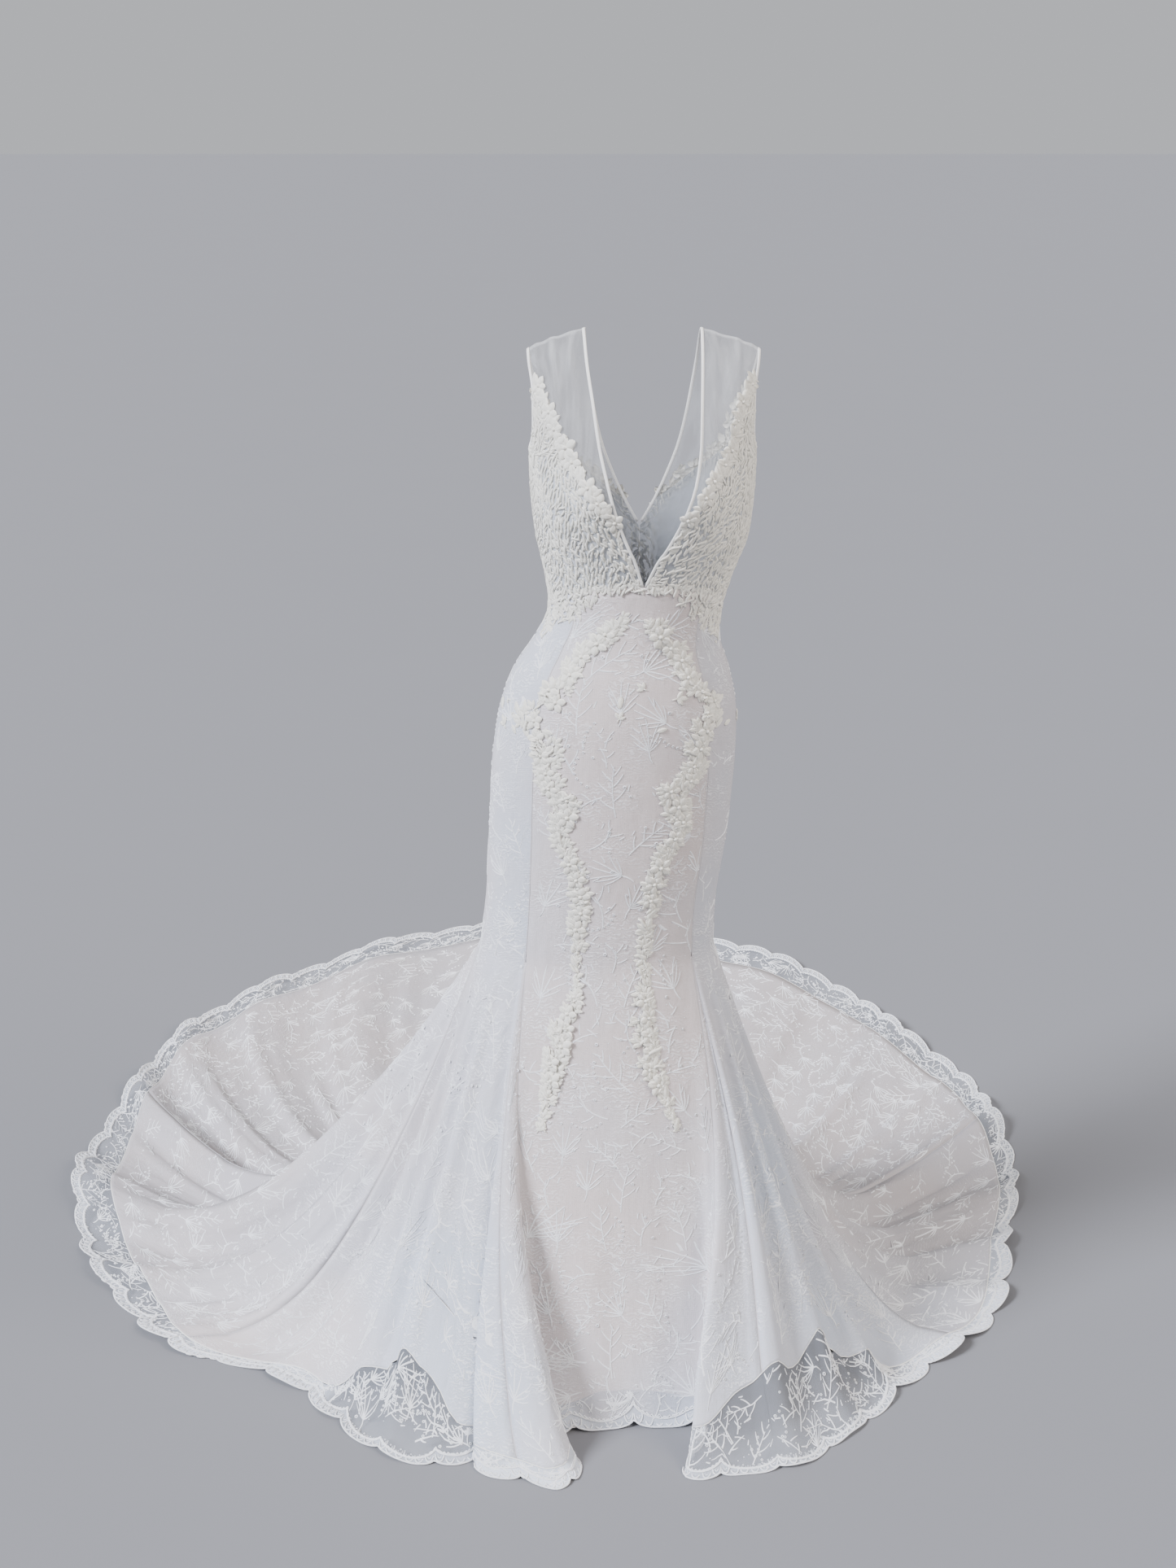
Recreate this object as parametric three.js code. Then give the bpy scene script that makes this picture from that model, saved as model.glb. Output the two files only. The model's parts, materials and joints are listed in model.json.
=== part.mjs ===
import * as THREE from 'three';

// A sleeveless mermaid wedding gown, hollow, in the form that it takes when worn.
// Millimetres, +Z up, the front faces -Y and the wearer's left is +X. The origin is midway
// between the shoulder tops. Heights in the tables count up from the floor. Bearings are in
// degrees about the body, 0 at the front and positive towards +X.

const FLOOR_DROP = 1490;      // from the origin down to the floor
const CLOTH = 2.0;            // lace mounted on its lining
const NET = 1.2;              // a single layer of lace or tulle
const SEAM = 0.3;             // open seam between two pieces
const LACE_SEAM = 0.9;        // the same where the border joins the lining's edge
const SHOULDER = 1502;        // crest of the shoulders at the neck
const SHOULDER_SLOPE = 24;    // fall of the crest from neck to arm
const SLOPE_START = 1380;     // height where that fall begins
const UNDERARM = 1346;        // lowest point of the armhole
const WAIST_SIDE = 1140;      // waist seam at the sides and the back
const WAIST_RISE = 44;        // how far the seam rises at the centre front
const KNEE = 640;             // where the fitted skirt starts to flare
const BACK_V = 1222;          // lowest point of the open back
const CORD = 1.8;             // height of the corded lace on the bodice
const WAIST_CURVE = 1.3;      // how quickly that rise dies away to the sides
const SEAM_BEARING = 45;      // the two front seams above the godets
const HEM_CENTRE = new THREE.Vector2(-53, 20);
const SCALLOP_WIDTH = 90;
const SCALLOP_DEPTH = 20;
const SCALLOP_ROUND = 0.7;    // under 1, the scallops are full and the points between them sharp
const NARROW_LACE = 40;       // lace narrower than this has shallower scallops
const LEAST_SEGMENT = 7;      // shortest step along a scalloped edge
const SHARP_TURN = 0.9;       // cosine between two columns past which a fold is too sharp to divide
const BINDING_WIDTH = 4.5;
const BINDING = 1.8;
const BINDING_END = 4;        // the neck's binding stops this far above the point of the open back
const CORD_ROWS = 3;          // rows of points from one course of cords to the next
const CORD_GROUND = 0.2;      // relief of the ground between the cords
const SPRAY_CLEAR = 1.3;      // from the panel's face to the underside of a spray
const LEAF_SWELL = 0.35;      // how much wider a spray is at a leaf
const LEAF_STEPS = 3;         // steps from one leaf to the next

// How the flare leaves the knee: the power of its run and of its fall for short and long
// lines, and the lengths between which one changes into the other.
const RUN = { short: 1.25, long: 2, from: 230, to: 520, tail: 3 };
const FALL = { short: 1.35, long: 2.1, from: 200, to: 420 };

// Where the folds start to lie down, as a share of the fall, and how much lower they are
// after a length on the floor.
const LYING = { from: 0.55, fade: 0.35, after: 900 };

// The shares of a line's run over which the flare's own facing gives way to the net's normals.
const STEADY = { from: 0.12, to: 0.4 };

// Rows and columns of the nets.
const UPPER_ROWS = 6;
const LOWER_ROWS = 12;
const BODICE_ROWS = 16;
const BACK_ROWS = 10;
const BODICE_COLUMNS = 14;
const YOKE_SHARES = [0, 0.2, 0.4, 0.58, 0.74, 0.86, 0.94, 1];
const SCALLOP_SEGMENTS = 4;
const SPRAY_STEPS = 2;

// Points inside the chest and the skirt, by their heights, that tell in from out.
const CHEST = 1250;
const SHIN = 300;

// Sections of the body of the gown: the middle and half of the width, and the depth before
// and behind the line of the shoulders.
const SECTIONS = [
  { height: 640, middle: -58, half: 165, front: 101, back: 109 },
  { height: 708, middle: -53, half: 162, front: 100, back: 107 },
  { height: 812, middle: -43, half: 166, front: 104, back: 119 },
  { height: 900, middle: -37, half: 167, front: 107, back: 134 },
  { height: 979, middle: -31, half: 163, front: 108, back: 136 },
  { height: 1047, middle: -25, half: 146, front: 102, back: 115 },
  { height: 1089, middle: -18, half: 125, front: 95, back: 95 },
  { height: 1129, middle: -8, half: 115, front: 93, back: 85 },
  { height: 1180, middle: -3, half: 124, front: 97, back: 88 },
  { height: 1241, middle: 1, half: 141, front: 110, back: 95 },
  { height: 1309, middle: 1, half: 147, front: 116, back: 102 },
  { height: 1358, middle: 1, half: 148, front: 112, back: 104 },
  { height: 1400, middle: 1, half: 152, front: 101, back: 100 },
  { height: 1444, middle: 1, half: 154, front: 77, back: 84 },
  { height: 1470, middle: 1, half: 156, front: 54, back: 62 },
  { height: 1488, middle: 1, half: 157, front: 30, back: 38 },
  { height: 1497, middle: 1, half: 157, front: 14, back: 20 },
  { height: 1502, middle: 1, half: 157, front: 0, back: 0 },
];

// How far round the skirt's own centre front has turned, by height.
const TURNS = [
  { height: 640, turn: 8 },
  { height: 950, turn: 4 },
  { height: 1160, turn: 0 },
  { height: 1502, turn: 0 },
];

// The neck's edge, on the wearer's right and left, and on each side of the open back.
const NECK_EDGE = [
  { height: 1186, right: -3, left: 7, back: 0.4 },
  { height: 1222, right: -14, left: 24, back: 0.4 },
  { height: 1230, right: -18, left: 30, back: 6 },
  { height: 1270, right: -34, left: 51, back: 28 },
  { height: 1300, right: -43, left: 63, back: 41 },
  { height: 1332, right: -51, left: 71, back: 53 },
  { height: 1368, right: -59, left: 75, back: 62 },
  { height: 1420, right: -67, left: 76, back: 71 },
  { height: 1461, right: -74, left: 77, back: 76 },
  { height: 1502, right: -79, left: 78, back: 78 },
];

// The share of the half width at which a front or back panel ends.
const ARM_EDGE = [
  { height: 1130, share: 1 },
  { height: 1346, share: 1 },
  { height: 1354, share: 0.985 },
  { height: 1372, share: 0.955 },
  { height: 1400, share: 0.93 },
  { height: 1450, share: 0.92 },
  { height: 1502, share: 0.94 },
];

// The upper edge of the corded lace, from the neck's edge (0) to the armhole (1).
const LACE_EDGE = [
  { across: 0, front: 1268, back: 1262 },
  { across: 0.1, front: 1300, back: 1284 },
  { across: 0.2, front: 1334, back: 1306 },
  { across: 0.36, front: 1355, back: 1330 },
  { across: 0.51, front: 1379, back: 1352 },
  { across: 0.6, front: 1400, back: 1368 },
  { across: 0.7, front: 1420, back: 1386 },
  { across: 0.82, front: 1437, back: 1404 },
  { across: 1, front: 1458, back: 1428 },
];

// The cut bust: how far each front stands forward, and where.
const BUST = { proud: 17, out: 80, height: 1288, spreadX: 44, spreadZ: 50 };

// The skirt's lines in the order in which the cloth runs, from the centre back round by the
// wearer's right to the front and on round by the left. Each runs from its bearing at the
// knee to a bearing and radius at the scalloped edge. reach is how far it runs before it
// lies on the floor, and lace the width that is lace alone. Bearings that turn back on
// themselves are the deep folds at the two front seams.
const LINES = [
  { knee: -180, hem: -180, radius: 1500, reach: 560, lace: 105 },
  { knee: -171, hem: -171.5, radius: 1492, reach: 560, lace: 105 },
  { knee: -162, hem: -163, radius: 1452, reach: 570, lace: 105 },
  { knee: -154, hem: -154.5, radius: 1388, reach: 580, lace: 105 },
  { knee: -146, hem: -146, radius: 1325, reach: 590, lace: 100 },
  { knee: -139, hem: -138, radius: 1250, reach: 590, lace: 84 },
  { knee: -132, hem: -130, radius: 1145, reach: 590, lace: 90 },
  { knee: -125, hem: -122, radius: 1065, reach: 590, lace: 104 },
  { knee: -118, hem: -114, radius: 1000, reach: 590, lace: 108 },
  { knee: -111, hem: -106, radius: 912, reach: 570, lace: 108 },
  { knee: -104, hem: -98, radius: 835, reach: 520, lace: 100 },
  { knee: -98, hem: -90.5, radius: 748, reach: 460, lace: 70 },
  { knee: -92, hem: -82, radius: 676, reach: 400, lace: 45 },
  { knee: -86, hem: -73, radius: 540, reach: 340, lace: 35 },
  { knee: -80, hem: -64, radius: 486, reach: 300, lace: 35 },
  { knee: -74, hem: -56, radius: 474, reach: 290, lace: 60 },
  { knee: -68, hem: -48, radius: 468, reach: 290, lace: 90 },
  { knee: -63, hem: -41, radius: 462, reach: 300, lace: 100 },
  { knee: -58, hem: -34, radius: 446, reach: 300, lace: 90 },
  { knee: -53, hem: -28.5, radius: 420, reach: 300, lace: 45 },
  { knee: -50, hem: -23.5, radius: 376, reach: 280, lace: 28 },
  { knee: -48, hem: -18.5, radius: 364, reach: 270, lace: 26 },
  { knee: -46.8, hem: -20.8, radius: 392, reach: 290, lace: 30 },
  { knee: -46, hem: -24.8, radius: 414, reach: 300, lace: 32 },
  { knee: -45.6, hem: -21, radius: 422, reach: 300, lace: 34 },
  { knee: -45.35, hem: -14.5, radius: 418, reach: 300, lace: 30 },
  { knee: -45.15, hem: -8.5, radius: 424, reach: 300, lace: 30 },
  { knee: -45, hem: -4.4, radius: 404, reach: 290, lace: 28 },
  { knee: -44.8, hem: -4.2, radius: 374, reach: 270, lace: 28 },
  { knee: -44.65, hem: -8, radius: 350, reach: 250, lace: 28 },
  { knee: -42, hem: -12.5, radius: 332, reach: 240, lace: 28 },
  { knee: -37, hem: -12.5, radius: 316, reach: 230, lace: 28 },
  { knee: -29, hem: -7, radius: 304, reach: 220, lace: 25 },
  { knee: -18, hem: -0.5, radius: 295, reach: 210, lace: 25 },
  { knee: -6, hem: 5.5, radius: 292, reach: 210, lace: 25 },
  { knee: 6, hem: 11, radius: 295, reach: 210, lace: 25 },
  { knee: 18, hem: 16.5, radius: 301, reach: 220, lace: 25 },
  { knee: 29, hem: 22, radius: 311, reach: 230, lace: 25 },
  { knee: 37, hem: 26, radius: 327, reach: 240, lace: 28 },
  { knee: 41.5, hem: 24.5, radius: 352, reach: 260, lace: 32 },
  { knee: 44.65, hem: 19.2, radius: 380, reach: 280, lace: 40 },
  { knee: 44.8, hem: 16.4, radius: 408, reach: 300, lace: 50 },
  { knee: 44.95, hem: 19.5, radius: 425, reach: 310, lace: 60 },
  { knee: 45.1, hem: 26, radius: 434, reach: 310, lace: 80 },
  { knee: 45.35, hem: 33, radius: 454, reach: 310, lace: 95 },
  { knee: 50, hem: 40, radius: 466, reach: 310, lace: 100 },
  { knee: 56, hem: 48, radius: 466, reach: 310, lace: 100 },
  { knee: 62, hem: 56, radius: 477, reach: 310, lace: 90 },
  { knee: 68, hem: 64, radius: 486, reach: 315, lace: 60 },
  { knee: 75, hem: 72.5, radius: 518, reach: 320, lace: 40 },
  { knee: 82, hem: 81, radius: 572, reach: 330, lace: 35 },
  { knee: 89, hem: 90, radius: 630, reach: 340, lace: 35 },
  { knee: 96, hem: 98.5, radius: 668, reach: 350, lace: 40 },
  { knee: 103, hem: 107, radius: 716, reach: 360, lace: 45 },
  { knee: 111, hem: 115, radius: 795, reach: 370, lace: 50 },
  { knee: 119, hem: 122.5, radius: 876, reach: 390, lace: 60 },
  { knee: 127, hem: 130, radius: 955, reach: 410, lace: 70 },
  { knee: 135, hem: 137.5, radius: 1045, reach: 440, lace: 80 },
  { knee: 143, hem: 145.5, radius: 1105, reach: 470, lace: 90 },
  { knee: 151, hem: 153.5, radius: 1225, reach: 500, lace: 100 },
  { knee: 159, hem: 161.5, radius: 1330, reach: 530, lace: 105 },
  { knee: 169, hem: 171, radius: 1430, reach: 550, lace: 105 },
  { knee: 180, hem: 180, radius: 1500, reach: 560, lace: 105 },
];

// The lines between which the cloth turns back on itself. Near the knee they still fan out
// evenly, and the folds deepen from one share of the way down to another.
const DEEP_FOLDS = [
  { from: 18, to: 33 },
  { from: 36, to: 46 },
];
const FOLD_FROM = 0.15;
const FOLD_TO = 0.75;

// The skirt's pieces: the line that each starts from and the columns for each line.
const GORES = [
  { name: 'train_right', start: 0, columns: 3, godet: false },
  { name: 'side_back_right', start: 6, columns: 2, godet: false },
  { name: 'side_front_right', start: 12, columns: 1, godet: false },
  { name: 'godet_right', start: 25, columns: 1, godet: true },
  { name: 'front', start: 29, columns: 1, godet: false },
  { name: 'godet_left', start: 40, columns: 1, godet: true },
  { name: 'side_front_left', start: 44, columns: 1, godet: false },
  { name: 'side_back_left', start: 50, columns: 2, godet: false },
  { name: 'train_left', start: 56, columns: 3, godet: false },
];

// The skirt's largest folds by their bearing at the hem: half of the width in degrees, the
// height while the cloth hangs, and the height where it lies on the floor.
const FOLDS = [
  { hem: -173, half: 5.5, hang: 16, lie: 12 },
  { hem: -161, half: 5.5, hang: 18, lie: 16 },
  { hem: -149, half: 5, hang: 20, lie: 14 },
  { hem: -139, half: 4.5, hang: 24, lie: 18 },
  { hem: -129.5, half: 4.5, hang: 30, lie: 24 },
  { hem: -112, half: 8, hang: 52, lie: 34 },
  { hem: -97, half: 6, hang: 26, lie: 18 },
  { hem: -83, half: 6, hang: 26, lie: 12 },
  { hem: -69, half: 6.5, hang: 24, lie: 6 },
  { hem: -55, half: 6, hang: 20, lie: 4 },
  { hem: -41, half: 6, hang: 20, lie: 4 },
  { hem: 36, half: 6, hang: 18, lie: 4 },
  { hem: 50, half: 6, hang: 20, lie: 4 },
  { hem: 64, half: 6, hang: 22, lie: 6 },
  { hem: 79, half: 7, hang: 34, lie: 14 },
  { hem: 93, half: 5.5, hang: 20, lie: 14 },
  { hem: 104, half: 5, hang: 26, lie: 22 },
  { hem: 115, half: 5.5, hang: 28, lie: 22 },
  { hem: 129, half: 6, hang: 28, lie: 24 },
  { hem: 147, half: 7, hang: 28, lie: 20 },
  { hem: 163, half: 6, hang: 20, lie: 16 },
];

// The appliqued sprays: for each side the bearing on the skirt, the height and half of the
// width of the spray, from the waist down.
const SPRAY_RIGHT = [
  { bearing: -9, height: 1140, half: 4 },
  { bearing: -19, height: 1112, half: 14 },
  { bearing: -31, height: 1092, half: 10 },
  { bearing: -35, height: 1058, half: 13 },
  { bearing: -47, height: 1012, half: 20 },
  { bearing: -45, height: 985, half: 14 },
  { bearing: -41, height: 945, half: 17 },
  { bearing: -38, height: 912, half: 12 },
  { bearing: -28, height: 885, half: 17 },
  { bearing: -30, height: 835, half: 8 },
  { bearing: -23, height: 798, half: 9 },
  { bearing: -19, height: 762, half: 10 },
  { bearing: -18, height: 695, half: 9 },
  { bearing: -18, height: 640, half: 5 },
  { bearing: -19, height: 596, half: 6 },
  { bearing: -24, height: 555, half: 15 },
  { bearing: -28, height: 512, half: 13 },
  { bearing: -31, height: 458, half: 8 },
  { bearing: -34, height: 410, half: 3 },
];
const SPRAY_LEFT = [
  { bearing: 9, height: 1138, half: 4 },
  { bearing: 18, height: 1112, half: 14 },
  { bearing: 31, height: 1087, half: 11 },
  { bearing: 37, height: 1048, half: 12 },
  { bearing: 50, height: 1010, half: 19 },
  { bearing: 42, height: 978, half: 12 },
  { bearing: 37, height: 922, half: 14 },
  { bearing: 25, height: 894, half: 17 },
  { bearing: 30, height: 840, half: 11 },
  { bearing: 24, height: 815, half: 8 },
  { bearing: 18, height: 771, half: 12 },
  { bearing: 17, height: 728, half: 9 },
  { bearing: 15, height: 673, half: 6 },
  { bearing: 15, height: 612, half: 7 },
  { bearing: 13, height: 560, half: 15 },
  { bearing: 15, height: 510, half: 13 },
  { bearing: 21, height: 456, half: 8 },
  { bearing: 27, height: 405, half: 3 },
];

// Colours of the cloths.
const LACE_ON_LINING = { color: 0xe4dfe0, roughness: 0.75 };
const LACE_ALONE = { color: 0xe9eaee, roughness: 0.8 };
const CORDED_LACE = { color: 0xf0ede1, roughness: 0.85 };
const TULLE = { color: 0xdcdfe2, roughness: 0.6 };
const BINDING_CLOTH = { color: 0xf3f2ee, roughness: 0.55 };

const radians = THREE.MathUtils.degToRad;
const degrees = THREE.MathUtils.radToDeg;
const { lerp, smoothstep } = THREE.MathUtils;

// A smooth curve through one named column of a table, against another.
function curveOf(rows, along, value) {
  const xs = rows.map((row, index) => (along ? row[along] : index));
  const ys = rows.map((row) => row[value]);
  const last = xs.length - 1;
  const rates = xs.slice(1).map((x, i) => (ys[i + 1] - ys[i]) / (x - xs[i]));
  const slopes = xs.map((x, i) => {
    const before = rates[Math.max(i - 1, 0)];
    const after = rates[Math.min(i, last - 1)];
    return before * after > 0 ? 2 * before * after / (before + after) : 0;
  });
  return (x) => {
    const at = THREE.MathUtils.clamp(x, xs[0], xs[last]);
    let i = 0;
    while (i < last - 1 && at > xs[i + 1]) i += 1;
    const width = xs[i + 1] - xs[i];
    const f = (at - xs[i]) / width;
    const g = 1 - f;
    const ends = g * g * (1 + 2 * f) * ys[i] + f * f * (3 - 2 * f) * ys[i + 1];
    return ends + width * f * g * (g * slopes[i] - f * slopes[i + 1]);
  };
}

const middleAt = curveOf(SECTIONS, 'height', 'middle');
const halfAt = curveOf(SECTIONS, 'height', 'half');
const frontAt = curveOf(SECTIONS, 'height', 'front');
const backAt = curveOf(SECTIONS, 'height', 'back');
const turnAt = curveOf(TURNS, 'height', 'turn');
const armShareAt = curveOf(ARM_EDGE, 'height', 'share');
const kneeOf = curveOf(LINES, null, 'knee');
const hemOf = curveOf(LINES, null, 'hem');
const radiusOf = curveOf(LINES, null, 'radius');
const reachOf = curveOf(LINES, null, 'reach');
const laceOf = curveOf(LINES, null, 'lace');

// A point of the fitted part, by bearing and height.
function bodyPoint(bearing, height) {
  const across = Math.sin(radians(bearing));
  const forward = Math.cos(radians(bearing));
  const depth = forward >= 0 ? frontAt(height) : backAt(height);
  return new THREE.Vector3(middleAt(height) + halfAt(height) * across, -depth * forward, height - FLOOR_DROP);
}

function waistHeight(bearing) {
  return WAIST_SIDE + WAIST_RISE * Math.max(0, Math.cos(radians(bearing))) ** WAIST_CURVE;
}

// The fitted part of the skirt turns with its own centre front. The two lines that bound a
// godet close up above it.
function upperPoint(line, share) {
  let knee = kneeOf(line);
  const besideGodet = GORES.find((gore, i) => gore.godet && (line === gore.start || line === GORES[i + 1].start));
  if (besideGodet && share < 1) knee = Math.sign(knee) * SEAM_BEARING;
  const height = lerp(waistHeight(knee) - SEAM, KNEE, share);
  return bodyPoint(knee + turnAt(height), height);
}

// How far a line has run out from the knee after a share of its cloth.
function runAfter(share, reach, length) {
  const power = lerp(RUN.short, RUN.long, smoothstep(length, RUN.from, RUN.to));
  const hang = reach * (1 - (1 - share) ** power);
  return hang + (length - reach) * share ** RUN.tail;
}

// The hem bearing that a line would have if no cloth turned back.
function evenHem(line) {
  const zone = DEEP_FOLDS.find((fold) => line > fold.from && line < fold.to);
  if (!zone) return hemOf(line);
  return lerp(hemOf(zone.from), hemOf(zone.to), (line - zone.from) / (zone.to - zone.from));
}

// The standing height of the folds on a line.
function foldHeight(line, fallen, lying) {
  let rise = 0;
  for (const fold of FOLDS) {
    const away = Math.abs(hemOf(line) - fold.hem) / fold.half;
    if (away < 1) {
      const bump = Math.cos(away * Math.PI / 2) ** 2;
      rise += bump * (fold.hang * Math.sin(Math.PI * fallen) + fold.lie * lying);
    }
  }
  return rise;
}

// The flared part: out and down to the floor, then along it, with the folds standing up.
// It returns the point and the direction in which the cloth faces but for its folds.
function flarePoint(line, share) {
  const turned = kneeOf(line) + turnAt(KNEE);
  const knee = bodyPoint(turned, KNEE);
  const start = new THREE.Vector2(knee.x, knee.y).sub(HEM_CENTRE);
  const lean = degrees(Math.atan2(start.x, -start.y)) - turned;
  const startBearing = turned + lean - 360 * Math.round(lean / 360);
  const length = radiusOf(line) - start.length();
  const reach = Math.min(reachOf(line), length);
  const run = runAfter(share, reach, length);
  const way = run / length;
  const even = lerp(startBearing, evenHem(line), way);
  const turnedBack = hemOf(line) - evenHem(line);
  const bearing = radians(even + turnedBack * smoothstep(way, FOLD_FROM, FOLD_TO));
  const radius = start.length() + run;
  const fallen = Math.min(1, run / reach);
  const bend = lerp(FALL.short, FALL.long, smoothstep(length, FALL.from, FALL.to));
  const slope = (bend * KNEE / reach) * (1 - fallen) ** (bend - 1);
  const out = new THREE.Vector2(Math.sin(bearing), -Math.cos(bearing));
  const facing = new THREE.Vector3(out.x * slope, out.y * slope, 1).normalize();
  const along = THREE.MathUtils.clamp((run - reach) / LYING.after, 0, 1);
  const lying = smoothstep(fallen, LYING.from, 1) * (1 - LYING.fade * along);
  const rise = foldHeight(line, fallen, lying);
  const point = new THREE.Vector3(
    HEM_CENTRE.x + out.x * radius,
    HEM_CENTRE.y + out.y * radius,
    KNEE * (1 - fallen) ** bend - FLOOR_DROP,
  );
  return { point: point.addScaledVector(facing, rise), facing, way };
}

// The share of a line at which the lining stops and the lace goes on alone.
function liningShare(line) {
  let low = 0.5;
  let high = 1;
  const edge = flarePoint(line, 1).point;
  for (let step = 0; step < 24; step += 1) {
    const middle = (low + high) / 2;
    const { point } = flarePoint(line, middle);
    if (Math.hypot(point.x - edge.x, point.y - edge.y) > laceOf(line)) low = middle;
    else high = middle;
  }
  return low;
}

// The whole skirt's net of points: one entry for each column, with all its rows and the
// point at the lace's edge.
function skirtColumns() {
  const lines = [];
  GORES.forEach((gore, i) => {
    const end = i + 1 < GORES.length ? GORES[i + 1].start : LINES.length - 1;
    const count = (end - gore.start) * gore.columns;
    for (let c = 0; c < count; c += 1) lines.push(gore.start + c / gore.columns);
  });
  lines.push(LINES.length - 1);
  return lines.map((line) => {
    const lined = liningShare(line);
    const points = [];
    for (let r = 0; r < UPPER_ROWS; r += 1) points.push(upperPoint(line, r / UPPER_ROWS));
    const flare = [];
    for (let r = 0; r <= LOWER_ROWS; r += 1) flare.push(flarePoint(line, lined * r / LOWER_ROWS));
    flare.push(flarePoint(line, 1));
    return { line, flare, points: [...points, ...flare.map((stop) => stop.point)] };
  });
}

// Just below the knee the lines lie too close for a true normal, so the cloth's own facing
// takes over there.
function steadyNormals(columns) {
  for (const column of columns) {
    column.flare.forEach((stop, r) => {
      const normal = column.normals[UPPER_ROWS + r];
      normal.lerp(stop.facing, 1 - smoothstep(stop.way, STEADY.from, STEADY.to)).normalize();
    });
  }
}

// Normals of a net of points, columns by rows, facing out of the gown. The net closes on
// itself where its last column repeats the first.
function addNormals(columns, closed) {
  const last = columns.length - 1;
  columns.forEach((column, c) => {
    const before = columns[c > 0 ? c - 1 : (closed ? last - 1 : 0)].points;
    const after = columns[c < last ? c + 1 : (closed ? 1 : last)].points;
    column.normals = column.points.map((point, r) => {
      const up = column.points[Math.max(r - 1, 0)];
      const down = column.points[Math.min(r + 1, column.points.length - 1)];
      const along = new THREE.Vector3().subVectors(after[r], before[r]);
      const fall = new THREE.Vector3().subVectors(down, up);
      return fall.cross(along).normalize();
    });
  });
}

// A closed body from two nets of points with the same rows and columns. The faces along its
// edges are split the same way as those of the piece beside it.
function bodyBetween(name, inner, outer, finish) {
  const columns = inner.length;
  const rows = inner[0].length;
  const positions = [];
  for (const net of [inner, outer]) {
    for (const column of net) {
      for (const point of column) positions.push(point.x, point.y, point.z);
    }
  }
  const inside = (c, r) => c * rows + r;
  const outside = (c, r) => columns * rows + c * rows + r;
  const faces = [];
  const quad = (a, b, c, d) => faces.push(a, b, c, a, c, d);
  for (let c = 0; c + 1 < columns; c += 1) {
    for (let r = 0; r + 1 < rows; r += 1) {
      quad(outside(c, r), outside(c, r + 1), outside(c + 1, r + 1), outside(c + 1, r));
      quad(inside(c, r), inside(c + 1, r), inside(c + 1, r + 1), inside(c, r + 1));
    }
    quad(outside(c, 0), outside(c + 1, 0), inside(c + 1, 0), inside(c, 0));
    quad(outside(c, rows - 1), inside(c, rows - 1), inside(c + 1, rows - 1), outside(c + 1, rows - 1));
  }
  for (let r = 0; r + 1 < rows; r += 1) {
    quad(inside(0, r), inside(0, r + 1), outside(0, r + 1), outside(0, r));
    quad(inside(columns - 1, r), outside(columns - 1, r), outside(columns - 1, r + 1), inside(columns - 1, r + 1));
  }
  const geometry = new THREE.BufferGeometry();
  geometry.setAttribute('position', new THREE.Float32BufferAttribute(positions, 3));
  geometry.setIndex(volumeOf(positions, faces) < 0 ? faces.reverse() : faces);
  const mesh = new THREE.Mesh(geometry, new THREE.MeshStandardMaterial({ ...finish, metalness: 0 }));
  mesh.name = name;
  return mesh;
}

function volumeOf(positions, faces) {
  const corner = (index) => new THREE.Vector3().fromArray(positions, index * 3);
  let volume = 0;
  for (let i = 0; i < faces.length; i += 3) {
    volume += corner(faces[i]).dot(corner(faces[i + 1]).cross(corner(faces[i + 2]))) / 6;
  }
  return volume;
}

// A wall on a net: its inner face is the net, and its outer face stands off by the
// thickness and by any relief.
function wallOn(name, columns, thickness, finish, relief = () => 0) {
  const inner = columns.map((column) => column.points);
  const outer = columns.map((column, c) => column.points.map((point, r) => (
    point.clone().addScaledVector(column.normals[r], thickness + relief(c, r, columns.length, column.points.length))
  )));
  return bodyBetween(name, inner, outer, finish);
}

// Moves the edge column of a piece towards its next column by half of the seam.
function seamedColumns(columns) {
  const result = columns.map((column) => ({ ...column }));
  const pull = (edge, next) => {
    result[edge].points = columns[edge].points.map((point, r) => {
      const away = new THREE.Vector3().subVectors(columns[next].points[r], point);
      return point.clone().addScaledVector(away.normalize(), SEAM / 2);
    });
  };
  pull(0, 1);
  pull(columns.length - 1, columns.length - 2);
  return result;
}

function skirtPieces(columns) {
  const pieces = [];
  GORES.forEach((gore, i) => {
    const end = i + 1 < GORES.length ? GORES[i + 1].start : LINES.length - 1;
    const own = seamedColumns(columns.filter((column) => column.line >= gore.start && column.line <= end));
    const firstRow = gore.godet ? UPPER_ROWS : 0;
    const panel = own.map((column) => ({
      points: column.points.slice(firstRow, -1),
      normals: column.normals.slice(firstRow, -1),
    }));
    pieces.push(wallOn(gore.name, panel, CLOTH, LACE_ON_LINING));
    pieces.push(hemLace(`hem_lace_${gore.name}`, own));
  });
  return pieces;
}

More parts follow.
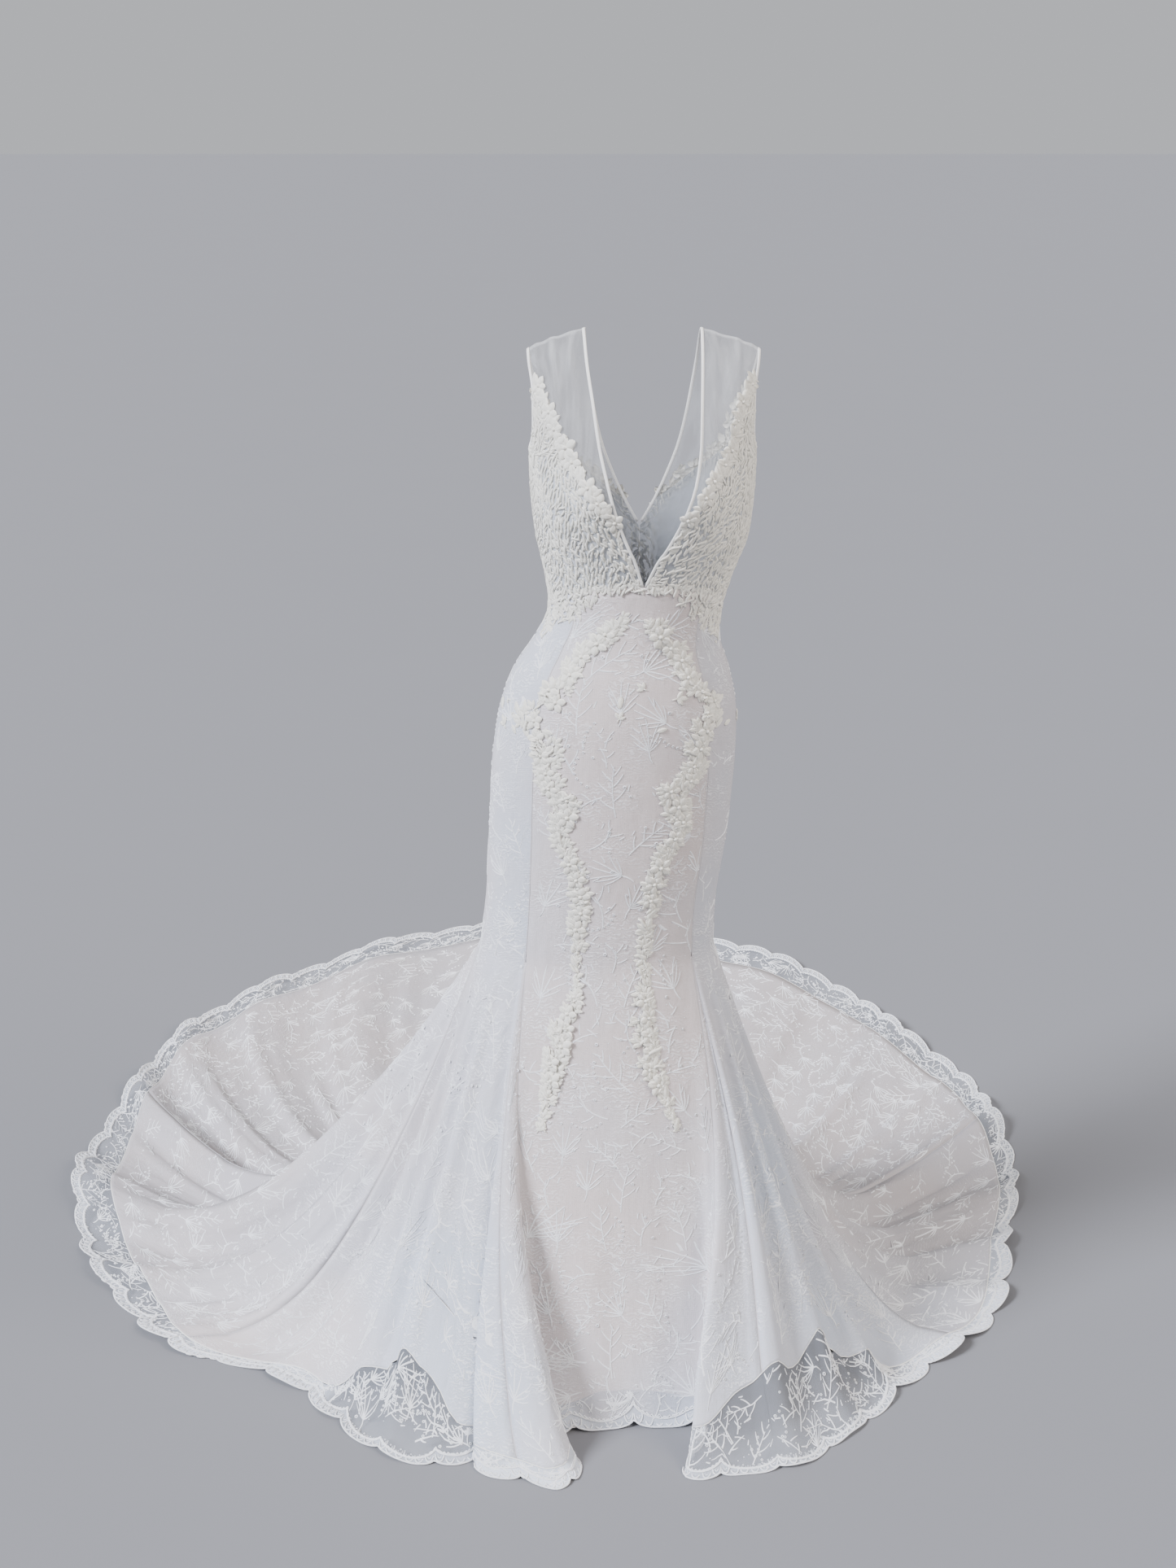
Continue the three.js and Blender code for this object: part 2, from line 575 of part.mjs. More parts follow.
// The lace border of one piece, from the lining's edge to its scallops. Between two columns
// it lies on the straight line that the panel's own edge makes.
function hemLace(name, columns) {
  const top = columns[0].points.length - 2;
  const lengths = [0];
  for (let c = 1; c < columns.length; c += 1) {
    lengths.push(lengths[c - 1] + columns[c].points[top + 1].distanceTo(columns[c - 1].points[top + 1]));
  }
  const total = lengths[lengths.length - 1];
  const scallops = Math.max(1, Math.round(total / SCALLOP_WIDTH));
  const marks = new Set(lengths);
  for (let s = 0; s <= scallops * SCALLOP_SEGMENTS; s += 1) {
    const mark = total * s / (scallops * SCALLOP_SEGMENTS);
    const cell = lengths.findIndex((length) => length > mark);
    const clear = lengths.every((length) => Math.abs(length - mark) > LEAST_SEGMENT);
    if (clear && columns[cell - 1].normals[top].dot(columns[cell].normals[top]) > SHARP_TURN) marks.add(mark);
  }
  const border = [...marks].sort((a, b) => a - b).map((mark) => {
    let c = 0;
    while (c < columns.length - 2 && mark > lengths[c + 1]) c += 1;
    const f = (mark - lengths[c]) / (lengths[c + 1] - lengths[c]);
    const between = (r, kind) => new THREE.Vector3().lerpVectors(columns[c][kind][r], columns[c + 1][kind][r], f);
    const start = between(top, 'points');
    const tip = between(top + 1, 'points');
    const width = start.distanceTo(tip);
    const lobe = Math.abs(Math.sin(Math.PI * mark / total * scallops));
    const cut = SCALLOP_DEPTH * (1 - lobe ** SCALLOP_ROUND) * Math.min(1, width / NARROW_LACE);
    const points = [
      new THREE.Vector3().lerpVectors(start, tip, LACE_SEAM / width),
      new THREE.Vector3().lerpVectors(start, tip, 1 - cut / width),
    ];
    const normals = [between(top, 'normals').normalize(), between(top + 1, 'normals').normalize()];
    return { points, normals };
  });
  return wallOn(name, border, NET, LACE_ALONE);
}

// A point of the bodice: side is -1 on the wearer's right and 1 on the left, face is front
// or back, across runs from the neck's edge (0) to the armhole or side seam (1).
function bodicePoint(side, face, across, height) {
  const middle = middleAt(height);
  const half = halfAt(height);
  const edge = face === 'back' ? side * neckAt.back(height) : neckAt[side < 0 ? 'right' : 'left'](height);
  const fromNeck = degrees(Math.asin(THREE.MathUtils.clamp((edge - middle) / half, -1, 1)));
  const toArm = side * degrees(Math.asin(Math.min(1, armShareAt(height))));
  const bearing = radians(lerp(fromNeck, toArm, across));
  const x = middle + half * Math.sin(bearing);
  const depth = face === 'front' ? -frontAt(height) : backAt(height);
  let y = depth * Math.cos(bearing);
  if (face === 'front') {
    const aside = (x - side * BUST.out) / BUST.spreadX;
    const above = (height - BUST.height) / BUST.spreadZ;
    y -= BUST.proud * Math.exp(-aside * aside - above * above) * Math.cos(bearing);
  }
  const slope = SHOULDER_SLOPE * across * smoothstep(height, SLOPE_START, SHOULDER);
  return new THREE.Vector3(x, y, height - slope - FLOOR_DROP);
}

const neckAt = {
  right: curveOf(NECK_EDGE, 'height', 'right'),
  left: curveOf(NECK_EDGE, 'height', 'left'),
  back: curveOf(NECK_EDGE, 'height', 'back'),
};
const laceEdgeAt = {
  front: curveOf(LACE_EDGE, 'across', 'front'),
  back: curveOf(LACE_EDGE, 'across', 'back'),
};

// The height of the waist seam below a point of the bodice.
function bodiceWaist(side, face, across) {
  let height = WAIST_SIDE + WAIST_RISE;
  for (let step = 0; step < 6; step += 1) {
    const point = bodicePoint(side, face, across, height);
    const share = THREE.MathUtils.clamp((point.x - middleAt(height)) / halfAt(height), -1, 1);
    const bearing = face === 'front' ? degrees(Math.asin(share)) : 180;
    height = waistHeight(bearing) + SEAM;
  }
  return height;
}

// Columns of one face of the bodice, from the waist seam to the lace's upper edge.
function laceColumns(side, face, rows) {
  const columns = [];
  for (let c = 0; c <= BODICE_COLUMNS; c += 1) {
    const across = c / BODICE_COLUMNS;
    const low = bodiceWaist(side, face, across);
    const high = laceEdgeAt[face](across) - SEAM;
    const points = [];
    for (let r = 0; r <= rows; r += 1) points.push(bodicePoint(side, face, across, lerp(high, low, r / rows)));
    columns.push({ points });
  }
  return columns;
}

// Columns of one shoulder piece, from the lace's edge in front over the crest to the back.
function yokeColumns(side) {
  const columns = [];
  for (let c = 0; c <= BODICE_COLUMNS; c += 1) {
    const across = c / BODICE_COLUMNS;
    const front = laceEdgeAt.front(across) + SEAM;
    const back = laceEdgeAt.back(across) + SEAM;
    const points = YOKE_SHARES.map((share) => bodicePoint(side, 'back', across, lerp(back, SHOULDER, share)));
    const before = YOKE_SHARES.slice(0, -1).reverse();
    for (const share of before) points.push(bodicePoint(side, 'front', across, lerp(front, SHOULDER, share)));
    columns.push({ points });
  }
  return columns;
}

// Levels the normals of one row, so that the pieces on both sides of the waist seam agree.
function levelRow(columns, row) {
  for (const column of columns) column.normals[row].setZ(0).normalize();
}

// Gives one row of each of two nets that meet there the same normals.
function joinRows(one, oneRow, other, otherRow) {
  one.forEach((column, c) => {
    const shared = column.normals[oneRow].clone().add(other[c].normals[otherRow]).normalize();
    column.normals[oneRow] = shared;
    other[c].normals[otherRow] = shared;
  });
}

// Turns the normals of a net out of the body where they point into it.
function faceOut(columns, centre) {
  const middle = Math.floor(columns.length / 2);
  const row = Math.floor(columns[0].points.length / 2);
  const out = new THREE.Vector3().subVectors(columns[middle].points[row], centre);
  if (out.dot(columns[middle].normals[row]) < 0) {
    for (const column of columns) column.normals.forEach((normal) => normal.negate());
  }
}

// Short upright cords and petals, staggered like bricks, away from the edges.
function cordRelief(c, r, columnCount, rowCount) {
  if (c === 0 || r === 0 || c === columnCount - 1 || r === rowCount - 1) return 0;
  const course = Math.floor(r / CORD_ROWS);
  const gap = r % CORD_ROWS === CORD_ROWS - 1;
  return !gap && (c + course) % 2 === 0 ? CORD : CORD_GROUND;
}

// A narrow binding along a path, lying beside it in the cloth's own surface.
function bindingAlong(name, path, closed) {
  const last = path.length - 1;
  const columns = path.map((stop, i) => {
    const before = path[i > 0 ? i - 1 : (closed ? last - 1 : 0)].point;
    const after = path[i < last ? i + 1 : (closed ? 1 : last)].point;
    const along = new THREE.Vector3().subVectors(after, before).normalize();
    const beside = new THREE.Vector3().crossVectors(along, stop.normal).normalize();
    if (beside.dot(stop.away) < 0) beside.negate();
    const points = [
      stop.point.clone().addScaledVector(beside, SEAM),
      stop.point.clone().addScaledVector(beside, SEAM + BINDING_WIDTH),
    ];
    return { points, normals: [stop.normal, stop.normal] };
  });
  return wallOn(name, columns, BINDING, BINDING_CLOTH);
}

// Stops of a binding's path along one edge column of a net.
function stopsAlong(columns, edge, rows) {
  const next = edge === 0 ? 1 : edge - 1;
  return rows.map((r) => ({
    point: columns[edge].points[r],
    normal: columns[edge].normals[r],
    away: new THREE.Vector3().subVectors(columns[edge].points[r], columns[next].points[r]),
  }));
}

function rowsWhere(column, test) {
  return column.points.map((point, r) => r).filter((r) => test(column.points[r].z + FLOOR_DROP));
}

function bodicePieces(side) {
  const hand = side < 0 ? 'right' : 'left';
  const chest = new THREE.Vector3(0, 0, CHEST - FLOOR_DROP);
  const front = laceColumns(side, 'front', BODICE_ROWS);
  const back = laceColumns(side, 'back', BACK_ROWS);
  const yoke = yokeColumns(side);
  for (const net of [front, back, yoke]) addNormals(net, false);
  for (const net of [front, back, yoke]) faceOut(net, chest);
  for (const net of [front, back]) levelRow(net, net[0].points.length - 1);
  joinRows(front, 0, yoke, yoke[0].points.length - 1);
  joinRows(back, 0, yoke, 0);
  const arm = BODICE_COLUMNS;
  const openFront = rowsWhere(front[arm], (height) => height > UNDERARM).reverse();
  const openBack = rowsWhere(back[arm], (height) => height > UNDERARM);
  const yokeRows = yoke[arm].points.map((point, r) => r).slice(1, -1);
  const frontNeck = front[0].points.map((point, r) => r).reverse();
  const backNeck = rowsWhere(back[0], (height) => height > BACK_V + BINDING_END);
  const armPath = [
    ...stopsAlong(front, arm, openFront),
    ...stopsAlong(yoke, arm, [...yokeRows].reverse()),
    ...stopsAlong(back, arm, openBack),
  ];
  const neckPath = [
    ...stopsAlong(front, 0, frontNeck),
    ...stopsAlong(yoke, 0, [...yokeRows].reverse()),
    ...stopsAlong(back, 0, backNeck),
  ];
  return [
    wallOn(`bodice_front_${hand}`, seamedColumns(front), CLOTH, CORDED_LACE, cordRelief),
    wallOn(`bodice_back_${hand}`, seamedColumns(back), CLOTH, CORDED_LACE),
    wallOn(`yoke_${hand}`, yoke, NET, TULLE),
    bindingAlong(`neck_binding_${hand}`, neckPath, false),
    bindingAlong(`armhole_binding_${hand}`, armPath, false),
  ];
}

// Finds the place of a bearing and height on the skirt's net, and reads the cloth there.
function clothAt(columns, bearing, height) {
  let c = 0;
  while (c < columns.length - 2 && kneeOf(columns[c + 1].line) < bearing) c += 1;
  const knees = [kneeOf(columns[c].line), kneeOf(columns[c + 1].line)];
  const f = (bearing - knees[0]) / (knees[1] - knees[0]);
  const read = (kind, r, g) => {
    const left = new THREE.Vector3().lerpVectors(columns[c][kind][r], columns[c][kind][r + 1], g);
    const right = new THREE.Vector3().lerpVectors(columns[c + 1][kind][r], columns[c + 1][kind][r + 1], g);
    return left.lerp(right, f);
  };
  const level = height - FLOOR_DROP;
  let r = 0;
  while (r < columns[c].points.length - 3 && read('points', r + 1, 0).z > level) r += 1;
  const above = read('points', r, 0).z;
  const below = read('points', r + 1, 0).z;
  const g = (above - level) / (above - below);
  return { point: read('points', r, g), normal: read('normals', r, g).normalize() };
}

// One appliqued spray, a leafy strip that lies on the panels.
function sprayOn(name, columns, table) {
  const bearingAt = curveOf(table, null, 'bearing');
  const heightAt = curveOf(table, null, 'height');
  const widthAt = curveOf(table, null, 'half');
  const steps = (table.length - 1) * SPRAY_STEPS;
  const strip = [];
  for (let s = 0; s <= steps; s += 1) {
    const place = s / SPRAY_STEPS;
    const leaf = 1 + LEAF_SWELL * Math.sin(2 * Math.PI * s / LEAF_STEPS);
    const half = widthAt(place) * leaf;
    const radius = halfAt(Math.max(KNEE, heightAt(place)));
    const wide = degrees(half / radius);
    const stops = [-1, 0, 1].map((edge) => clothAt(columns, bearingAt(place) + edge * wide, heightAt(place)));
    strip.push({
      points: stops.map((stop) => stop.point.addScaledVector(stop.normal, CLOTH + SPRAY_CLEAR)),
      normals: stops.map((stop) => stop.normal),
    });
  }
  return wallOn(name, strip, CORD, CORDED_LACE);
}

const gown = new THREE.Group();
const skirt = skirtColumns();
addNormals(skirt, true);
faceOut(skirt, new THREE.Vector3(HEM_CENTRE.x, 0, SHIN - FLOOR_DROP));
steadyNormals(skirt);
levelRow(skirt, 0);
gown.add(...skirtPieces(skirt));
for (const side of [-1, 1]) gown.add(...bodicePieces(side));
gown.add(sprayOn('applique_right', skirt, SPRAY_RIGHT));
gown.add(sprayOn('applique_left', skirt, SPRAY_LEFT));

export default gown;
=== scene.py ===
"""A sleeveless mermaid wedding gown of corded lace, tulle and embroidered net over a satin lining.

The gown stands hollow, in the form that it takes when worn, on a pale floor. Sizes in the tables
are millimetres; heights count up from the floor, and bearings are degrees about the body, 0 at
the front and positive towards the wearer's left (+X). Meshes are in metres, in the frame's axes.
"""

import json
import logging
import math
from collections.abc import Sequence
from dataclasses import dataclass, field
from enum import Enum

import bpy
import numpy as np
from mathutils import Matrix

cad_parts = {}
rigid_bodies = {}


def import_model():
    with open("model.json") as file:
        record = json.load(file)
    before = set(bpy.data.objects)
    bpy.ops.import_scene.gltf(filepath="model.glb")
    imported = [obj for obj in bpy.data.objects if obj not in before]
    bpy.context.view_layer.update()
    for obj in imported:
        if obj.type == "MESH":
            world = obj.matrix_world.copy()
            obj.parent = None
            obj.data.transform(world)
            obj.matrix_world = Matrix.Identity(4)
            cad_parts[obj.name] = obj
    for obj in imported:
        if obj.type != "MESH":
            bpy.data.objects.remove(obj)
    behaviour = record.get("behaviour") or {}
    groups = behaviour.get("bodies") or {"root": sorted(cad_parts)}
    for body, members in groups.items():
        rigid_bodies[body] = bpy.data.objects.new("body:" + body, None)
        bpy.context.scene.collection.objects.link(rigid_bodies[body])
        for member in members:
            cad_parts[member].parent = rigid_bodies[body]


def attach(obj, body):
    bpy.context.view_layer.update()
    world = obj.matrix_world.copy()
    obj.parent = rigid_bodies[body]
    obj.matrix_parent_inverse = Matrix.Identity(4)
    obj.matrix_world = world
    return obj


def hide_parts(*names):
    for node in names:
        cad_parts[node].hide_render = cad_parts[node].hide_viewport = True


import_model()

LOG = logging.getLogger("gown")
Array = np.ndarray
Thing, Material = bpy.types.Object, bpy.types.Material
Socket, Node, Tree = bpy.types.NodeSocket, bpy.types.Node, bpy.types.NodeTree

MM = 0.001
FLOOR_DROP = 1490.0  # from the origin down to the floor
SEAM = 0.3
SHOULDER, SHOULDER_SLOPE, SLOPE_START = 1502.0, 24.0, 1380.0
UNDERARM = 1346.0
WAIST_SIDE, WAIST_RISE, WAIST_CURVE = 1140.0, 44.0, 1.3
SEAM_BEARING = 45.0
KNEE = 640.0
BACK_V = 1222.0
HEM_CENTRE = np.array((-53.0, 20.0))
SCALLOP_WIDTH, SCALLOP_DEPTH, SCALLOP_ROUND, NARROW_LACE = 90.0, 20.0, 0.7, 40.0


class Curve:
    """A smooth curve through a table's points, which never swings past them."""

    def __init__(self, xs: Array, ys: Array) -> None:
        """Keeps the points and works out the slopes.

        Args:
            xs: Where the points lie, rising.
            ys: The values there.
        """
        self.xs, self.ys = np.asarray(xs, float), np.asarray(ys, float)
        rates = np.diff(self.ys) / np.diff(self.xs)
        before, after = np.append(rates[0], rates), np.append(rates, rates[-1])
        total = np.where(before * after > 0, before + after, 1.0)
        self.slopes = np.where(before * after > 0, 2 * before * after / total, 0.0)

    def __call__(self, x: Array | float) -> Array:
        """Reads the curve.

        Args:
            x: Where to read it.

        Returns:
            The values there, held level past both ends.
        """
        at = np.clip(x, self.xs[0], self.xs[-1])
        i = np.clip(np.searchsorted(self.xs, at) - 1, 0, len(self.xs) - 2)
        width = self.xs[i + 1] - self.xs[i]
        f = (at - self.xs[i]) / width
        g = 1 - f
        ends = g * g * (1 + 2 * f) * self.ys[i] + f * f * (3 - 2 * f) * self.ys[i + 1]
        return ends + width * f * g * (g * self.slopes[i] - f * self.slopes[i + 1])


class Table:
    """Rows of sizes under named columns."""

    def __init__(self, names: str, rows: Sequence[Sequence[float]]) -> None:
        """Keeps the rows.

        Args:
            names: The columns' names, with spaces between them.
            rows: The numbers.
        """
        self.names, self.rows = names.split(), np.array(rows, float)

    def column(self, name: str) -> Array:
        """Returns the numbers of one column."""
        return self.rows[:, self.names.index(name)]

    def curve(self, value: str, along: str | None = None) -> Curve:
        """Runs a curve through a column.

        Args:
            value: The column that gives the values.
            along: The column that they are laid along, or the row's number.

        Returns:
            The curve.
        """
        xs = self.column(along) if along else np.arange(len(self.rows))
        return Curve(xs, self.column(value))


# Sections of the body: its middle and half width, and its depth before and behind the shoulders.
SECTIONS = Table("height middle half front back", (
    (640, -58, 165, 101, 109), (708, -53, 162, 100, 107), (812, -43, 166, 104, 119),
    (900, -37, 167, 107, 134), (979, -31, 163, 108, 136), (1047, -25, 146, 102, 115),
    (1089, -18, 125, 95, 95), (1129, -8, 115, 93, 85), (1180, -3, 124, 97, 88), (1241, 1, 141, 110, 95),
    (1309, 1, 147, 116, 102), (1358, 1, 148, 112, 104), (1400, 1, 152, 101, 100),
    (1444, 1, 154, 77, 84), (1470, 1, 156, 54, 62), (1488, 1, 157, 30, 38), (1497, 1, 157, 14, 20),
    (1502, 1, 157, 0, 0),
))
# How far round the skirt has turned.
TURNS = Table("height turn", (
    (640, 8), (950, 4), (1160, 0), (1502, 0),
))
# The neck's edge on both sides, and on each side of the open back.
NECK_EDGE = Table("height right left back", (
    (1186, -3, 7, .4), (1222, -14, 24, .4), (1230, -18, 30, 6), (1270, -34, 51, 28),
    (1300, -43, 63, 41), (1332, -51, 71, 53), (1368, -59, 75, 62), (1420, -67, 76, 71),
    (1461, -74, 77, 76), (1502, -79, 78, 78),
))
# Where a front or back panel ends, as a share of the half width.
ARM_EDGE = Table("height share", (
    (1130, 1), (1346, 1), (1354, .985), (1372, .955), (1400, .93), (1450, .92), (1502, .94),
))
# The upper edge of the corded lace, from the neck (0) to the armhole (1).
LACE_EDGE = Table("across front back", (
    (0, 1268, 1262), (.1, 1300, 1284), (.2, 1334, 1306), (.36, 1355, 1330), (.51, 1379, 1352),
    (.6, 1400, 1368), (.7, 1420, 1386), (.82, 1437, 1404), (1, 1458, 1428),
))
# The lines of the skirt, in the order in which its cloth runs round from the centre back.
LINES = Table("knee hem radius reach lace", (
    (-180, -180, 1500, 560, 105), (-171, -171.5, 1492, 560, 105), (-162, -163, 1452, 570, 105),
    (-154, -154.5, 1388, 580, 105), (-146, -146, 1325, 590, 100), (-139, -138, 1250, 590, 84),
    (-132, -130, 1145, 590, 90), (-125, -122, 1065, 590, 104), (-118, -114, 1000, 590, 108),
    (-111, -106, 912, 570, 108), (-104, -98, 835, 520, 100), (-98, -90.5, 748, 460, 70),
    (-92, -82, 676, 400, 45), (-86, -73, 540, 340, 35), (-80, -64, 486, 300, 35),
    (-74, -56, 474, 290, 60), (-68, -48, 468, 290, 90), (-63, -41, 462, 300, 100),
    (-58, -34, 446, 300, 90), (-53, -28.5, 420, 300, 45), (-50, -23.5, 376, 280, 28),
    (-48, -18.5, 364, 270, 26), (-46.8, -20.8, 392, 290, 30), (-46, -24.8, 414, 300, 32),
    (-45.6, -21, 422, 300, 34), (-45.35, -14.5, 418, 300, 30), (-45.15, -8.5, 424, 300, 30),
    (-45, -4.4, 404, 290, 28), (-44.8, -4.2, 374, 270, 28), (-44.65, -8, 350, 250, 28),
    (-42, -12.5, 332, 240, 28), (-37, -12.5, 316, 230, 28), (-29, -7, 304, 220, 25),
    (-18, -.5, 295, 210, 25), (-6, 5.5, 292, 210, 25), (6, 11, 295, 210, 25), (18, 16.5, 301, 220, 25),
    (29, 22, 311, 230, 25), (37, 26, 327, 240, 28), (41.5, 24.5, 352, 260, 32),
    (44.65, 19.2, 380, 280, 40), (44.8, 16.4, 408, 300, 50), (44.95, 19.5, 425, 310, 60),
    (45.1, 26, 434, 310, 80), (45.35, 33, 454, 310, 95), (50, 40, 466, 310, 100),
    (56, 48, 466, 310, 100), (62, 56, 477, 310, 90), (68, 64, 486, 315, 60), (75, 72.5, 518, 320, 40),
    (82, 81, 572, 330, 35), (89, 90, 630, 340, 35), (96, 98.5, 668, 350, 40), (103, 107, 716, 360, 45),
    (111, 115, 795, 370, 50), (119, 122.5, 876, 390, 60), (127, 130, 955, 410, 70),
    (135, 137.5, 1045, 440, 80), (143, 145.5, 1105, 470, 90), (151, 153.5, 1225, 500, 100),
    (159, 161.5, 1330, 530, 105), (169, 171, 1430, 550, 105), (180, 180, 1500, 560, 105),
))
# The largest folds, by their bearing at the hem.
FOLDS = Table("hem half hang lie", (
    (-173, 5.5, 16, 12), (-161, 5.5, 18, 16), (-149, 5, 20, 14), (-139, 4.5, 24, 18),
    (-129.5, 4.5, 30, 24), (-112, 8, 52, 34), (-97, 6, 26, 18), (-83, 6, 26, 12), (-69, 6.5, 24, 6),
    (-55, 6, 20, 4), (-41, 6, 20, 4), (36, 6, 18, 4), (50, 6, 20, 4), (64, 6, 22, 6), (79, 7, 34, 14),
    (93, 5.5, 20, 14), (104, 5, 26, 22), (115, 5.5, 28, 22), (129, 6, 28, 24), (147, 7, 28, 20),
    (163, 6, 20, 16),
))
# The appliqued spray on the right, from the waist down.
SPRAY_RIGHT = Table("bearing height half", (
    (-9, 1140, 4), (-19, 1112, 14), (-31, 1092, 10), (-35, 1058, 13), (-47, 1012, 20), (-45, 985, 14),
    (-41, 945, 17), (-38, 912, 12), (-28, 885, 17), (-30, 835, 8), (-23, 798, 9), (-19, 762, 10),
    (-18, 695, 9), (-18, 640, 5), (-19, 596, 6), (-24, 555, 15), (-28, 512, 13), (-31, 458, 8),
    (-34, 410, 3),
))
# The same on the left.
SPRAY_LEFT = Table("bearing height half", (
    (9, 1138, 4), (18, 1112, 14), (31, 1087, 11), (37, 1048, 12), (50, 1010, 19), (42, 978, 12),
    (37, 922, 14), (25, 894, 17), (30, 840, 11), (24, 815, 8), (18, 771, 12), (17, 728, 9),
    (15, 673, 6), (15, 612, 7), (13, 560, 15), (15, 510, 13), (21, 456, 8), (27, 405, 3),
))
# Smaller creases of the flare: the line that each follows at its middle, how far it wanders to its
# end, its half width in lines, where it starts and ends on the way out, and its height.
CREASES = Table("line drift half start end high", (
    (1.1, .3, .5, .2, .75, 5), (2.2, -.3, .6, .35, .98, 7), (3.3, .4, .45, .1, .6, -5),
    (4.3, .2, .5, .3, .9, 8), (5.2, -.4, .42, .15, .7, 6), (6.1, .5, .5, .3, .96, 8),
    (7.2, -.3, .4, .1, .66, -6), (8.4, .5, .55, .25, .92, 9), (9.3, .3, .4, .4, .98, 7),
    (10.2, -.4, .5, .16, .8, -7), (11.1, .4, .5, .3, .95, 7), (12.4, -.3, .5, .2, .8, 6),
    (13.5, .3, .5, .3, .95, -5), (14.6, .3, .5, .2, .85, 5), (15.7, -.3, .5, .35, .96, 5),
    (17.2, .3, .5, .2, .8, -4), (30.6, .2, .5, .3, .9, 2), (33.4, -.3, .8, .35, .95, 3),
    (36.2, .3, .7, .3, .9, -2.5), (46.4, .3, .5, .25, .9, 4), (48.6, -.3, .5, .3, .95, -4),
    (50.5, .3, .45, .2, .85, 6), (51.8, -.4, .5, .3, .96, 7), (53.1, .4, .42, .1, .7, -6),
    (54.2, .4, .5, .3, .94, 8), (55.4, -.3, .45, .2, .8, 6), (56.6, .4, .5, .3, .95, 8),
    (57.7, -.4, .42, .12, .66, -6), (58.8, .3, .5, .35, .97, 7), (60.1, -.3, .5, .2, .8, 6),
    (61.2, .4, .5, .3, .96, 7),
))
# Fine gathers that run out over the train and the falls: line, drift, half width in lines, start and
# end on the way out, and height.
GATHERS = Table("line drift half start end high", (
    (.45, .2, .17, .12, .6, 7.6), (.8, -.15, .14, .3, .85, 8.5), (1.55, .25, .2, .2, .95, 6.8),
    (2.05, .1, .13, .1, .55, 9.3), (2.65, -.2, .18, .4, .97, 7.6), (3.0, .15, .15, .15, .7, 9.3),
    (3.75, .2, .2, .25, .96, 8.5), (4.0, -.25, .12, .1, .5, 10.2), (4.7, .2, .16, .35, .9, 9.3),
    (5.0, .1, .22, .5, .98, 6.8), (5.65, -.2, .14, .15, .8, 10.2), (5.95, .25, .17, .3, .95, 8.5),
    (6.5, .15, .15, .1, .6, 11), (6.85, -.15, .2, .4, .97, 8.5), (7.45, .2, .14, .2, .85, 11),
    (7.8, .15, .17, .3, .96, 9.3), (8.1, -.2, .13, .1, .65, 10.2), (8.75, .2, .16, .25, .95, 11),
    (9.0, -.1, .2, .5, .98, 7.6), (9.6, .2, .15, .15, .8, 10.2), (9.95, .15, .18, .3, .96, 9.3),
    (10.5, -.2, .14, .15, .7, 10.2), (10.85, .2, .18, .35, .96, 8.5), (11.4, .15, .15, .2, .9, 9.3),
    (11.8, -.15, .17, .25, .95, 8.5), (12.7, .2, .2, .2, .8, 7.6), (13.1, -.1, .15, .35, .96, 6.8),
    (13.9, .15, .18, .2, .9, 6.8), (14.3, .1, .2, .4, .97, 6), (15.2, -.15, .2, .25, .85, 6.8),
    (16.2, .15, .2, .3, .95, 6), (17.8, .1, .25, .3, .9, 5.1), (45.8, .1, .2, .3, .9, 5.1),
    (47.1, -.1, .22, .25, .95, 6), (47.9, .15, .2, .35, .96, 6), (49.3, .15, .18, .2, .85, 6.8),
    (50.0, -.15, .2, .35, .96, 6.8), (50.95, .2, .15, .15, .8, 9.3), (51.3, .15, .17, .3, .96, 8.5),
    (52.25, -.2, .14, .15, .7, 10.2), (52.6, .2, .18, .3, .97, 8.5), (53.45, .15, .14, .2, .85, 11),
    (53.8, -.2, .17, .3, .96, 9.3), (54.65, .2, .15, .15, .8, 11), (54.95, .15, .18, .4, .97, 8.5),
    (55.75, -.2, .14, .15, .75, 10.2), (56.1, .2, .17, .3, .96, 9.3), (56.95, .15, .14, .1, .6, 10.2),
    (57.3, -.15, .2, .35, .97, 8.5), (58.2, .2, .15, .2, .85, 9.3), (58.5, .15, .18, .4, .96, 7.6),
    (59.3, -.2, .14, .1, .65, 9.3), (59.65, .2, .2, .3, .95, 7.6), (60.5, .15, .15, .2, .8, 8.5),
    (60.85, -.15, .2, .4, .97, 6.8), (61.6, .2, .16, .15, .7, 7.6),
))
# Slight drags on the fitted skirt: bearing, height, half sizes round and down, lean and height.
DRAGS = Table("bearing height wide tall lean high", (
    (-70, 1090, 26, 9, .5, 1.4), (-64, 1058, 30, 10, .35, -1.2), (-76, 1018, 24, 9, .3, 1.1),
    (66, 1082, 26, 9, -.5, 1.3), (72, 1046, 30, 9, -.4, -1.2), (60, 1010, 22, 8, -.3, 1.0),
    (-22, 905, 34, 8, .1, .8), (16, 872, 30, 8, -.1, -.8), (-8, 812, 36, 9, .1, .8),
    (30, 760, 26, 10, -.3, .9), (-38, 745, 26, 10, .4, -.9), (6, 700, 30, 10, .1, .8),
    (150, 1070, 30, 9, .3, 1.4), (-150, 1060, 30, 9, -.3, 1.4), (168, 1010, 24, 10, .2, -1.3),
    (-165, 990, 26, 10, -.2, -1.2), (120, 900, 30, 12, -.2, 1.2), (-118, 880, 30, 12, .2, 1.2),
    (178, 820, 26, 14, 0, 1.3), (92, 700, 26, 12, -.3, 1.2), (-96, 690, 26, 12, .3, 1.2),
))
# Folds drawn in the shoulder tulle: where across, their half width, and their height.
VEIL_FOLDS = ((.16, .07, .9), (.33, .1, -1.1), (.5, .08, 1.2), (.66, .09, -.9), (.82, .07, 1.0))
